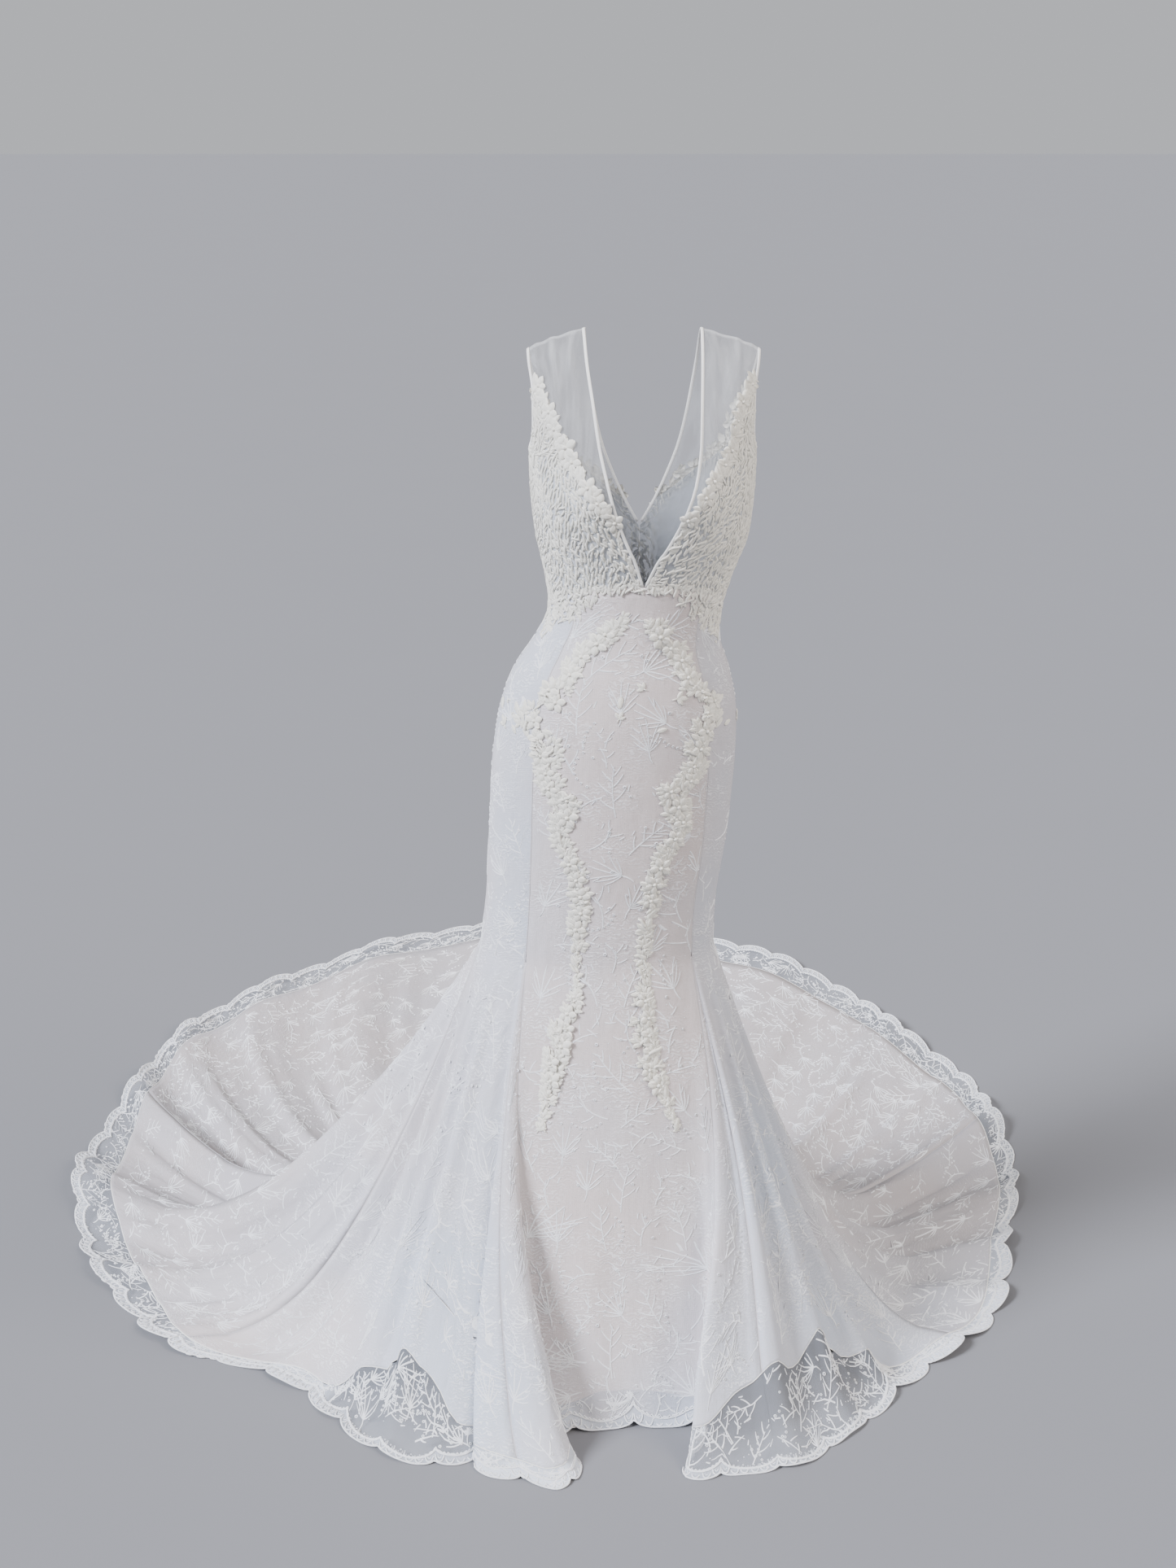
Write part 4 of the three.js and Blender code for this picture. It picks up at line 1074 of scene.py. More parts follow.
@dataclass(frozen=True)
class NetOnSatin:
    """Embroidered net that lies on a satin lining."""

    name: str = "embroidered net on satin"
    warm: str = "cbbfbd"
    cool: str = "b8c0ce"
    thread: str = "f3f4f8"
    seam: str = "bdb7b8"
    # The grey of the painted shade on the train.
    dusk: str = "a29ea2"

    def make(self, weaves: Weaves) -> Material:
        """Makes the material.

        Args:
            weaves: The shared groups.

        Returns:
            The material.
        """
        paint = Paint(self.name, weaves)
        graph = paint.graph
        # Painted light: the coolness tints the panels that face the windows with their cool light; the rest
        # shows more of the warm lining.
        tone = paint.group(weaves.tone, Vector=paint.place, Coolness=paint.read("coolness"),
                           Warm=srgb(self.warm), Cool=srgb(self.cool))
        net = paint.group(weaves.net, Vector=paint.cloth)
        ripple = {"Vector": paint.cloth, "Scale": 58.0, "Distortion": 14.0, "Detail": 2.0,
                  "Detail Scale": 1.3}
        fill = graph.put("ShaderNodeTexWave", ripple, bands_direction="Y")
        patch = graph.put("ShaderNodeTexNoise", {"Vector": paint.cloth, "Scale": 13.0, "Detail": 1.0})
        here = graph.ramp(patch.outputs["Fac"], 0.42, 0.62, 0.04, 0.5)
        worked = graph.math("MULTIPLY", graph.ramp(fill.outputs["Fac"], 0.62, 0.88, 0.0, 1.0), here)
        share = graph.math("ADD", graph.math("MULTIPLY", net.outputs["Mask"], 0.18), worked, clamp=True)
        cloth = graph.blend(share, tone.outputs["Color"], srgb(self.thread))
        # Painted shade: the train at the back is mixed towards grey, for the shadow that it lies in.
        cloth = graph.blend(graph.math("MULTIPLY", paint.read("dusk"), 0.55), cloth, srgb(self.dusk))
        seam = graph.ramp(paint.read("inset"), 0.0009, 0.0022, 0.6, 0.0)
        paint.set(Base_Color=graph.blend(seam, cloth, srgb(self.seam)), Roughness=0.6, Sheen_Weight=0.05,
                  Sheen_Roughness=0.5, Specular_IOR_Level=0.4)
        soft = paint.bump(paint.group(weaves.crinkle, Vector=paint.cloth).outputs[0], 0.0035)
        raised = paint.bump(worked, 0.0007, soft)
        paint.set(Normal=paint.bump(net.outputs["Height"], 0.0002, raised))
        return paint.material


@dataclass(frozen=True)
class SatinLining:
    """The satin inside the skirt and bodice."""

    name: str = "satin lining"
    warm: str = "dccbc4"
    cool: str = "d3cbc9"

    def make(self, weaves: Weaves) -> Material:
        """Makes the material.

        Args:
            weaves: The shared groups.

        Returns:
            The material.
        """
        paint = Paint(self.name, weaves)
        tone = paint.group(weaves.tone, Vector=paint.place, Warm=srgb(self.warm), Cool=srgb(self.cool))
        soft = paint.bump(paint.group(weaves.crinkle, Vector=paint.cloth).outputs[0], 0.003)
        paint.set(Base_Color=tone.outputs["Color"], Roughness=0.38, Sheen_Weight=0.1, Normal=soft)
        return paint.material


@dataclass(frozen=True)
class SheerNet:
    """A single layer of net or tulle that shows what is behind it."""

    name: str = "sheer net"
    light: str = "eef0f5"
    dull: str = "d9dce4"
    cover: float = 0.4
    thicker: float = 0.25
    cells: float = 520.0
    streaks: float = 0.0

    def make(self, weaves: Weaves) -> Material:
        """Makes the material.

        Args:
            weaves: The shared groups.

        Returns:
            The material.
        """
        paint = Paint(self.name, weaves)
        graph = paint.graph
        net = paint.group(weaves.net, Vector=paint.cloth, Cells_per_metre=self.cells)
        tone = paint.group(weaves.tone, Vector=paint.place, Warm=srgb(self.light), Cool=srgb(self.dull))
        crease = paint.group(weaves.crinkle, Vector=paint.cloth, Waves_per_metre=42.0)
        cover = graph.math("ADD", self.cover, graph.math("MULTIPLY", net.outputs["Mask"], self.thicker))
        streak = graph.ramp(crease.outputs[0], 0.4, 0.62, -self.streaks, self.streaks)
        cover = graph.math("ADD", graph.math("ADD", cover, streak), paint.read("cover"), clamp=True)
        paint.set(Base_Color=tone.outputs["Color"], Roughness=0.7, Alpha=cover, Sheen_Weight=0.25)
        soft = paint.bump(crease.outputs[0], 0.002)
        paint.set(Normal=paint.bump(net.outputs["Height"], 0.0002, soft))
        return paint.material


@dataclass(frozen=True)
class Thread:
    """Cords, petals and stitches of lace."""

    name: str = "ivory cord"
    light: str = "fffdf5"
    dark: str = "f0ecdf"
    plies: float = 700.0
    relief: float = 0.0004
    sheen: float = 0.05

    def make(self, weaves: Weaves) -> Material:
        """Makes the material.

        Args:
            weaves: The shared groups.

        Returns:
            The material.
        """
        paint = Paint(self.name, weaves)
        twist = paint.group(weaves.twist, Vector=paint.place, Plies_per_metre=self.plies)
        # Painted shade: the low grooves between the plies of the twist get the darker colour.
        colour = paint.graph.blend(twist.outputs["Mask"], srgb(self.dark), srgb(self.light))
        paint.set(Base_Color=colour, Roughness=0.78, Sheen_Weight=self.sheen,
                  Normal=paint.bump(twist.outputs["Height"], self.relief))
        return paint.material


@dataclass(frozen=True)
class StudioFloor:
    """The plain pale floor."""

    name: str = "pale floor"
    colour: str = "747579"
    dark: str = "6e6f73"

    def make(self, weaves: Weaves) -> Material:
        """Makes the material.

        Args:
            weaves: The shared groups.

        Returns:
            The material.
        """
        paint = Paint(self.name, weaves)
        grain = paint.graph.put("ShaderNodeTexNoise", {"Vector": paint.place, "Scale": 3.0, "Detail": 2.0})
        shade = paint.graph.ramp(grain.outputs["Fac"], 0.3, 0.7, 0.0, 0.06)
        paint.set(Base_Color=paint.graph.blend(shade, srgb(self.colour), srgb(self.dark)), Roughness=0.8)
        return paint.material


@dataclass
class Finishes:
    """All finishes of the gown, made once."""

    weaves: Weaves = field(default_factory=Weaves)

    def __post_init__(self) -> None:
        """Makes the materials."""
        self.skirt = NetOnSatin().make(self.weaves)
        self.lining = SatinLining().make(self.weaves)
        self.border = SheerNet("sheer border net", "dbe0ea", "b9c1d0", 0.2, 0.25).make(self.weaves)
        self.tulle = SheerNet("soft tulle", "eceded", "dadcdf", 0.2, 0.16, 900.0, 0.07).make(self.weaves)
        ground = SheerNet("corded lace ground", "cccfd2", "b0b6bf", 0.35, 0.3, 620.0, 0.04)
        self.ground = ground.make(self.weaves)
        self.cord = Thread().make(self.weaves)
        self.thread = Thread("white embroidery", "f8f9fb", "e6e8ee", 1400.0, 0.0002, 0.05).make(self.weaves)
        self.binding = Thread("bias binding", "f4f3f0", "e8e6e2", 1100.0, 0.00015, 0.1).make(self.weaves)
        self.seam = Thread("seam thread", "d3d1d6", "bdbcc4", 1400.0, 0.0001, 0.1).make(self.weaves)
        self.floor = StudioFloor().make(self.weaves)


class Pile:
    """Points and faces that are gathered for one mesh, in millimetres."""

    def __init__(self) -> None:
        """Starts with nothing."""
        self.verts: list[Array] = []
        self.faces: list[Array] = []
        self.count = 0

    def add(self, verts: Array, faces: Array) -> None:
        """Adds points and the faces between them.

        Args:
            verts: The points.
            faces: Indices that count from the first of these points.
        """
        self.verts.append(verts)
        self.faces.append(faces + self.count)
        self.count += len(verts)

    def piece(self, name: str, *materials: Material) -> Thing:
        """Returns all that was gathered as one object of the scene."""
        return MeshMaker.link(name, np.concatenate(self.verts) * MM, np.concatenate(self.faces), materials)


class Rope(Pile):
    """Small closed shapes of a motif."""

    def tube(self, path: Array, radii: Array, sides: int = 4, rise: float = 0.8) -> None:
        """Adds a tapered cord along a flat path.

        Args:
            path: Points across and along the cloth.
            radii: The cord's radius at each.
            sides: Faces round it.
            rise: How high the cord is for its width.
        """
        heading = unit(np.gradient(path, axis=0))
        beside = np.stack((heading[:, 1], -heading[:, 0]), -1)
        turn = 2 * np.pi * (np.arange(sides) + 0.5) / sides
        flat = path[:, None] + beside[:, None] * (radii[:, None] * np.cos(turn))[..., None]
        level = radii[:, None] * (np.sin(turn) * rise + rise * 0.45)
        rings = np.concatenate((flat, level[..., None]), -1).reshape(-1, 3)
        self.add(rings, MeshMaker.tube(len(path), sides))

    def petal(self, length: float, width: float, high: float, angle: float = 0.0,
              centre: tuple = (0.0, 0.0)) -> None:
        """Adds a leaf or petal with a groove down its middle.

        Args:
            length: Its length from the stem.
            width: Its greatest width.
            high: How high its two halves stand.
            angle: Its direction, in degrees from straight along.
            centre: Where its stem lies.
        """
        share = np.array((0.0, 0.22, 0.5, 0.78, 1.0))
        half = width / 2 * np.array((0.18, 0.78, 1.0, 0.72, 0.12))
        level = high * np.array((0.05, 1.0, 0.55, 1.0, 0.05))
        x = half[:, None] * np.array((-1.0, -0.55, 0.0, 0.55, 1.0))
        y = np.repeat(share[:, None] * length, 5, 1)
        z = level * np.array((0.5, 0.9, 1.0, 0.9, 0.4))[:, None]
        cos, sin = math.cos(math.radians(angle)), math.sin(math.radians(angle))
        flat = np.stack((x * cos + y * sin, y * cos - x * sin), -1) + np.array(centre)
        top = np.concatenate((flat, z[..., None]), -1).reshape(-1, 3)
        quads = MeshMaker.grid(5, 5)
        tris = np.concatenate((quads[:, :3], quads[:, (0, 2, 3)]))
        a, b, d = top[tris[0]]
        self.add(top, tris if np.cross(b - a, d - a)[2] > 0 else tris[:, ::-1])

    def dome(self, radius: float, high: float, centre: tuple = (0.0, 0.0), sides: int = 6) -> None:
        """Adds a small round bud.

        Args:
            radius: Its radius.
            high: Its height.
            centre: Where its middle lies.
            sides: Faces round it.
        """
        turn = 2 * np.pi * np.arange(sides) / sides
        out = np.stack((np.cos(turn), np.sin(turn)), -1)
        rings = [np.insert(np.array(centre) + size * radius * out, 2, level, axis=1)
                 for size, level in ((1.0, 0.0), (0.6, high * 0.8))]
        k = np.arange(sides)
        n = (k + 1) % sides
        faces = np.concatenate((np.stack((k, n, n + sides), -1), np.stack((k, n + sides, k + sides), -1),
                                np.stack((k + sides, n + sides, 0 * k + 2 * sides), -1)))
        self.add(np.concatenate((*rings, [(*centre, high)])), faces)

    def ring(self, radius: float, thick: float, sides: int) -> None:
        """Adds a small worked ring.

        Args:
            radius: The radius of its middle.
            thick: Half the width of its band.
            sides: Faces round it.
        """
        turn = 2 * np.pi * np.arange(sides) / sides
        out = np.stack((np.cos(turn), np.sin(turn)), -1)
        flat = out[:, None] * (radius + thick * np.array((-1.0, 0.0, 1.0)))[:, None]
        level = np.broadcast_to(np.array((0.0, thick * 1.5, 0.0)), (sides, 3))
        verts = np.concatenate((flat, level[..., None]), -1).reshape(-1, 3)
        k, j = np.meshgrid(np.arange(sides), np.arange(2), indexing="ij")
        a, b = (k * 3 + j).ravel(), ((k + 1) % sides * 3 + j).ravel()
        self.add(verts, np.concatenate((np.stack((a, a + 1, b + 1), -1), np.stack((a, b + 1, b), -1))))


class Motif(Enum):
    """The worked motifs, in the order of their collection."""

    CORD = 0
    HOOK = 1
    PETAL = 2
    FLOWER = 3
    BUD = 4
    LEAVES = 5
    EYELET = 6
    DOT = 7
    LOOP = 8


class MotifBox:
    """The collection of motifs that are sewn on the cloth."""

    def __init__(self) -> None:
        """Builds every motif."""
        self.home = bpy.data.collections.new("motifs")
        bpy.context.scene.collection.children.link(self.home)
        for motif in Motif:
            rope = Rope()
            getattr(self, f"_{motif.name.lower()}")(rope)
            thing = rope.piece(f"motif_{motif.value}_{motif.name.lower()}")
            bpy.context.scene.collection.objects.unlink(thing)
            self.home.objects.link(thing)

    @staticmethod
    def _cord(rope: Rope) -> None:
        """Builds a short upright cord."""
        t = np.linspace(-1, 1, 6)
        rope.tube(np.stack((1.7 * np.sin(t * 2.4), t * 7.0), -1), 1.9 * (1 - 0.6 * t ** 4))

    @staticmethod
    def _hook(rope: Rope) -> None:
        """Builds a curled cord.

        Args:
            rope: The motif's shapes.
        """
        t = np.linspace(0, 1, 8)
        turn = 0.4 + 3.6 * t
        across = 3.0 * np.cos(turn) * (1 - 0.45 * t)
        along = 3.4 * np.sin(turn) * (1 - 0.3 * t) + 3.0 * t - 2
        rope.tube(np.stack((across, along), -1), 1.15 * (1 - 0.5 * (2 * t - 1) ** 4))

    @staticmethod
    def _petal(rope: Rope) -> None:
        """Builds one long petal."""
        rope.petal(12.0, 5.8, 1.5, 0, (0, -6))

    @staticmethod
    def _flower(rope: Rope) -> None:
        """Builds an uneven flower of five petals round a bud.

        Args:
            rope: The motif's shapes.
        """
        for angle, length in ((0, 6.6), (68, 6.0), (146, 6.4), (212, 5.6), (288, 6.2)):
            turn = math.radians(angle)
            rope.petal(length + 1.6, 6.4, 1.6, angle, (1.1 * math.sin(turn), 1.1 * math.cos(turn)))
        rope.dome(2.0, 2.4)

    @staticmethod
    def _bud(rope: Rope) -> None:
        """Builds a round bud on a short stem."""
        rope.dome(2.3, 1.6, (0, 2))
        rope.tube(np.array(((0.4, -4.5), (0.2, -2), (0, 0.5))), np.array((0.5, 0.7, 0.8)))

    @staticmethod
    def _leaves(rope: Rope) -> None:
        """Builds a sprig of three leaves.

        Args:
            rope: The motif's shapes.
        """
        for angle, length, width in ((-48, 8.5, 4.2), (4, 10.5, 4.8), (50, 8.0, 4.0)):
            rope.petal(length + 1, width + 0.6, 1.4, angle, (0, -4))
        rope.tube(np.array(((0.8, -9.0), (0.3, -6.5), (0, -3.6))), np.array((0.6, 0.8, 0.8)))

    @staticmethod
    def _eyelet(rope: Rope) -> None:
        """Builds a worked ring."""
        rope.ring(1.8, 0.85, 6)

    @staticmethod
    def _dot(rope: Rope) -> None:
        """Builds a small dot."""
        rope.dome(0.95, 0.6, sides=5)

    @staticmethod
    def _loop(rope: Rope) -> None:
        """Builds an arch of the edging, open towards the cloth, with a smaller arch inside.

        Args:
            rope: The motif's shapes.
        """
        for wide, deep, thick in ((6.3, 13.0, 1.35), (3.0, 7.0, 0.9)):
            turn = np.linspace(-0.15, math.pi + 0.15, 7)
            path = np.stack((wide * np.cos(turn), -deep * np.maximum(np.sin(turn), -0.1) + 14.5), -1)
            rope.tube(path, np.full(7, thick))
        rope.dome(1.5, 1.2, (0, 17.5), 5)

    def clear(self) -> None:
        """Removes the loose motifs once all pieces are sewn."""
        for thing in list(self.home.objects):
            bpy.data.objects.remove(thing)
        bpy.data.collections.remove(self.home)


def with_tree(thing: Thing, tree: Tree, values: dict) -> Thing:
    """Runs a tree of Geometry Nodes on an object and keeps the plain mesh.

    Args:
        thing: The object.
        tree: The tree.
        values: Its named inputs.

    Returns:
        The object, with the result as its mesh and no modifier.
    """
    modifier = thing.modifiers.new(tree.name, "NODES")
    modifier.node_group = tree
    for item in tree.interface.items_tree:
        if item.item_type == "SOCKET" and item.in_out == "INPUT" and item.name in values:
            modifier[item.identifier] = values[item.name]
    mesh = bpy.data.meshes.new_from_object(thing.evaluated_get(bpy.context.evaluated_depsgraph_get()))
    thing.modifiers.clear()
    old, thing.data = thing.data, mesh
    bpy.data.meshes.remove(old)
    return thing


class Places:
    """Where motifs are sewn: points, the cloth's facing and heading there, sizes and motifs."""

    def __init__(self) -> None:
        """Starts with none."""
        self.rows: list[tuple] = []

    def add(self, cloth: Cloth, column: float, row: float, lift: float, turn: float, size: float,
            motif: Motif, ahead: float = 0.0) -> None:
        """Adds one place on a cloth.

        Args:
            cloth: The cloth.
            column: The column, with its fraction.
            row: The row, with its fraction.
            lift: Millimetres above the net.
            turn: Degrees by which the motif turns from straight up the cloth.
            size: Its size, 1 for the motif's own.
            motif: Which motif.
            ahead: Millimetres by which it stands forward of the place, up the cloth.
        """
        back = 0.5 if row > 0.5 else -0.5
        points, normals = cloth.at(np.array((column, column)), np.array((row, row - back)))
        up = unit((points[1] - points[0]) * (1 if row > 0.5 else -1))
        facing = normals[0]
        side = unit(np.cross(up, facing))
        up = np.cross(facing, side)
        angle = math.radians(turn)
        heading = up * math.cos(angle) + side * math.sin(angle)
        self.rows.append((points[0] + facing * lift + up * ahead, facing, heading, size, motif.value))

    def near(self, cloth: Cloth, column: float, row: float, spot: Array, lift: float, size: float,
             motif: Motif) -> None:
        """Adds one place by distances from another, where that is still on the cloth.

        Args:
            cloth: The cloth.
            column: The column to start from.
            row: The row to start from.
            spot: Millimetres across and along the cloth.
            lift: Millimetres above the net.
            size: Its size, 1 for the motif's own.
            motif: Which motif.
        """
        c, r = cloth.walk(column, row, *spot)
        if 1 < c < cloth.points.shape[0] - 2 and 1 < r < cloth.points.shape[1] - 2:
            self.add(cloth, float(c), float(r), lift, 0, size, motif)


class Needle:
    """Sews motifs and cords on the cloth by trees of Geometry Nodes."""

    def __init__(self) -> None:
        """Builds the motifs and both trees."""
        self.box = MotifBox()
        self.scatter, self.run = self._scatter(), self._run()

    @staticmethod
    def _end(graph: Graph, made: Socket, given: dict, leave: Node) -> Tree:
        """Ends a tree: makes its instances real and smooth, and gives them their material.

        Args:
            graph: The tree's graph.
            made: The geometry so far.
            given: The tree's input sockets.
            leave: Its output node.

        Returns:
            The tree.
        """
        real = graph.put("GeometryNodeRealizeInstances", {"Geometry": made})
        smooth = graph.put("GeometryNodeSetShadeSmooth", {"Geometry": real.outputs[0]})
        sockets = {"Geometry": smooth.outputs[0], "Material": given["Material"]}
        graph.feed(leave.inputs[0], graph.put("GeometryNodeSetMaterial", sockets).outputs[0])
        return graph.tree

    def _scatter(self) -> Tree:
        """Builds the tree that sews one motif on each point.

        Returns:
            The tree.
        """
        graph, given, leave = new_group("Motifs on cloth", "GeometryNodeTree", [
            Port("Geometry", "NodeSocketGeometry"), Port("Motifs", "NodeSocketCollection"),
            Port("Size", value=1.0), Port("Size spread", value=0.1), Port("Spin spread", value=0.2),
            Port("Seed", "NodeSocketInt", 1), Port("Material", "NodeSocketMaterial"),
        ], [Port("Geometry", "NodeSocketGeometry")])
        motifs = graph.put("GeometryNodeCollectionInfo", {
            "Collection": given["Motifs"], "Separate Children": True, "Reset Children": True})

        def stored(name: str, kind: str) -> Socket:
            """Returns the socket of an attribute of the points."""
            node = graph.put("GeometryNodeInputNamedAttribute", {"Name": name}, data_type=kind)
            return node.outputs["Attribute"]

        def random(low: object, high: object, seed: object) -> Socket:
            """Returns the socket of a random number for each point."""
            return graph.put("FunctionNodeRandomValue", {2: low, 3: high, "Seed": seed}).outputs[1]

        axes = {"Primary Axis": stored("facing", "FLOAT_VECTOR"),
                "Secondary Axis": stored("heading", "FLOAT_VECTOR")}
        turned = graph.put("FunctionNodeAxesToRotation", axes, primary_axis="Z", secondary_axis="Y")
        spin = random(graph.math("MULTIPLY", given["Spin spread"], -1.0), given["Spin spread"], given["Seed"])
        about = graph.put("ShaderNodeCombineXYZ", {"Z": spin}).outputs[0]
        about = graph.put("FunctionNodeEulerToRotation", {0: about}).outputs[0]
        turns = {0: turned.outputs[0], 1: about}
        spun = graph.put("FunctionNodeRotateRotation", turns, rotation_space="LOCAL").outputs[0]
        least = graph.math("SUBTRACT", 1.0, given["Size spread"])
        most = graph.math("ADD", 1.0, given["Size spread"])
        jitter = random(least, most, graph.math("ADD", given["Seed"], 7.0))
        size = graph.math("MULTIPLY", graph.math("MULTIPLY", stored("size", "FLOAT"), given["Size"]), jitter)
        index = graph.put("FunctionNodeFloatToInt", {0: stored("motif", "FLOAT")}, rounding_mode="ROUND")
        sewn = graph.put("GeometryNodeInstanceOnPoints", {
            "Points": given["Geometry"], "Instance": motifs.outputs[0], "Pick Instance": True,
            "Instance Index": index.outputs[0], "Rotation": spun, "Scale": size})
        return self._end(graph, sewn.outputs[0], given, leave)

    def _run(self) -> Tree:
        """Builds the tree that lays a round cord along a path.

        Returns:
            The tree.
        """
        graph, given, leave = new_group("Cord along path", "GeometryNodeTree", [
            Port("Geometry", "NodeSocketGeometry"), Port("Radius", value=0.001),
            Port("Sides", "NodeSocketInt", 6), Port("Step", value=0.006),
            Port("Material", "NodeSocketMaterial"),
        ], [Port("Geometry", "NodeSocketGeometry")])
        curve = graph.put("GeometryNodeMeshToCurve", {"Mesh": given["Geometry"]}).outputs[0]
        even = graph.put("GeometryNodeResampleCurve", {"Curve": curve, "Length": given["Step"]},
                         mode="LENGTH")
        circle = {"Resolution": given["Sides"], "Radius": given["Radius"]}
        profile = graph.put("GeometryNodeCurvePrimitiveCircle", circle).outputs[0]
        sockets = {"Curve": even.outputs[0], "Profile Curve": profile, "Fill Caps": True}
        return self._end(graph, graph.put("GeometryNodeCurveToMesh", sockets).outputs[0], given, leave)

    @staticmethod
    def _loose(name: str, points: Array, edges: Sequence[tuple[int, int]] = ()) -> Thing:
        """Makes an object of points, joined by edges where there are any.

        Args:
            name: Its name.
            points: The points, in millimetres.
            edges: Pairs of points to join.

        Returns:
            The object.
        """
        mesh = bpy.data.meshes.new(name)
        mesh.from_pydata((points * MM).tolist(), edges, [])
        return placed(name, mesh)

    def sew(self, name: str, places: Places, material: Material, seed: int, spin: float = 0.2,
            spread: float = 0.12) -> Thing:
        """Sews motifs on their places.

        Args:
            name: The piece's name.
            places: Where the motifs lie.
            material: Their material.
            seed: The seed of their small differences.
            spin: How far they may turn, in radians.
            spread: How far their sizes may differ.

        Returns:
            The piece, as one plain mesh.
        """
        columns = [np.array(column, float) for column in zip(*places.rows)]
        thing = self._loose(name, columns[0])
        for label, values in zip(("facing", "heading", "size", "motif"), columns[1:]):
            MeshMaker.mark(thing, label, values)
        return with_tree(thing, self.scatter, {
            "Motifs": self.box.home, "Size": 1.0, "Size spread": spread, "Spin spread": spin, "Seed": seed,
            "Material": material})

    def lay(self, name: str, paths: Sequence[Array], radius: float, step: float,
            material: Material, sides: int = 6) -> Thing:
        """Lays a cord along each of several paths.

        Args:
            name: The piece's name.
            paths: The paths, in millimetres.
            radius: The cord's radius in millimetres.
            step: The length of its segments in millimetres.
            material: Its material.
            sides: Faces round it.

        Returns:
            The piece, as one plain mesh.
        """
        edges, start = [], 0
        for path in paths:
            edges += [(start + i, start + i + 1) for i in range(len(path) - 1)]
            start += len(path)
        thing = self._loose(name, np.concatenate(paths), edges)
        return with_tree(thing, self.run, {
            "Radius": radius * MM, "Sides": sides, "Step": step * MM, "Material": material})


GODET_SEAM = 27.0
FLOOR_GIVE = 0.0003


@dataclass(frozen=True)
class Gore:
    """One piece of the skirt."""

    name: str
    start: int
    end: int
    godet: bool = False


GORES = (
    Gore("train_right", 0, 6), Gore("side_back_right", 6, 12), Gore("side_front_right", 12, 25),
    Gore("godet_right", 25, 29, True), Gore("front", 29, 40), Gore("godet_left", 40, 44, True),
    Gore("side_front_left", 44, 50), Gore("side_back_left", 50, 56), Gore("train_left", 56, 62),
)

# How cool the cloth looks at the waist, the knee and the hem, by line: the panels that face the
# windows are given painted cool window light, and the rest shows more of its lining.
TONES = Table("line waist knee hem", (
    (0, .3, .25, .15), (8, .35, .35, .2), (12, .5, .45, .35), (16, .6, .7, .75), (22, .6, .8, .95),
    (26, .42, .52, .8), (29, .22, .3, .55), (34, .02, .08, .25), (40, .2, .28, .45), (43, .42, .52, .7),
    (47, .6, .8, .95), (51, .5, .5, .6), (55, .4, .35, .2), (62, .3, .25, .15),
))

# The worked sprigs: for each twig where it leaves the stem, its direction, length and bend.
TWIGS = (
    Table("x y angle length bend", (
        (0, 0, -64, 26, 30), (0, 1, -44, 36, 22), (0, 2, -24, 44, -12), (0, 2, -6, 48, 8),
        (0, 2, 14, 46, -10), (0, 1, 34, 38, 14), (0, 0, 58, 28, -26), (0, 0, 178, 20, 30),
        (-12, 26, -58, 12, 10), (10, 30, 46, 12, -12),
    )),
    Table("x y angle length bend", (
        (0, -34, 8, 72, -18), (2, -22, 62, 24, -30), (3, -12, -52, 26, 26), (4, -1, 56, 25, -24),
        (4, 8, -48, 24, 26), (4, 17, 48, 20, -22), (2, 24, -42, 17, 20), (0, 31, 30, 12, -12),
        (24, -10, 20, 9, 12), (-17, 2, -10, 9, -12),
    )),
    Table("x y angle length bend", (
        (-34, 4, 84, 40, 38), (2, 8, 70, 34, -46), (-16, 8, 24, 16, 22), (-4, 10, 150, 16, 30),
        (12, 8, 14, 15, 22), (20, 6, 128, 14, -24), (30, 4, 40, 11, 30), (-26, 6, 132, 13, -24),
    )),
    Table("x y angle length bend", (
        (0, -26, -14, 46, 40), (-6, -8, -70, 20, 34), (-6, 2, 38, 26, -22), (-2, 12, -40, 22, 26),
        (6, 20, 62, 18, -30), (16, 12, 24, 10, 12), (-18, 20, -12, 10, 16),
    )),
)


class Stitcher(Pile):
    """Works raised threads on a cloth and joins them into one mesh."""

    @staticmethod
    def twig(row: Array) -> Array:
        """Draws one twig, across and up the cloth.

        Args:
            row: A row of the twigs' table.

        Returns:
            The points of its path.
        """
        x, y, angle, length, bend = row
        points = 5 if length > LONG_TWIG else 4
        turn = np.radians(angle + bend * np.linspace(0, 1, points)[:-1])
        hops = np.stack((np.sin(turn), np.cos(turn)), -1) * length / (points - 1)
        return np.concatenate((np.zeros((1, 2)), np.cumsum(hops, 0))) + (x, y)

    def work(self, cloth: Cloth, column: float, row: float, paths: Sequence[Array], width: float, lift: float,
             high: float) -> None:
        """Works several paths on the cloth, each as a raised thread.

        Args:
            cloth: The cloth.
            column: The column that the paths are laid from.
            row: The row that they are laid from.
            paths: Points across and up the cloth, in millimetres.
            width: The thread's width.
            lift: How far its edges lie above the net.
            high: How far its middle stands above its edges.
        """
        for path in paths:
            heading = unit(np.gradient(path, axis=0))
            beside = np.stack((heading[:, 1], -heading[:, 0]), -1)
            taper = width / 2 * (1 - 0.45 * np.linspace(0, 1, len(path)) ** 3)
            flat = path[:, None] + beside[:, None] * (taper[:, None] * np.array((-1, 0, 1)))[..., None]
            columns, rows = cloth.walk(column, row, flat[..., 0], -flat[..., 1])
            inside = (columns > 0.05) & (columns < cloth.points.shape[0] - 1.05)
            inside &= (rows > 0.05) & (rows < cloth.points.shape[1] - 1.05)
            points, normals = cloth.at(columns, rows)
            rise = lift + high * np.array((0, 1, 0))
            points = points + normals * rise[:, None]
            quads = MeshMaker.grid(len(path), 3)
            kept = quads[inside.ravel()[quads].all(1)]
            if len(kept):
                self.add(points.reshape(-1, 3), kept[:, ::-1])


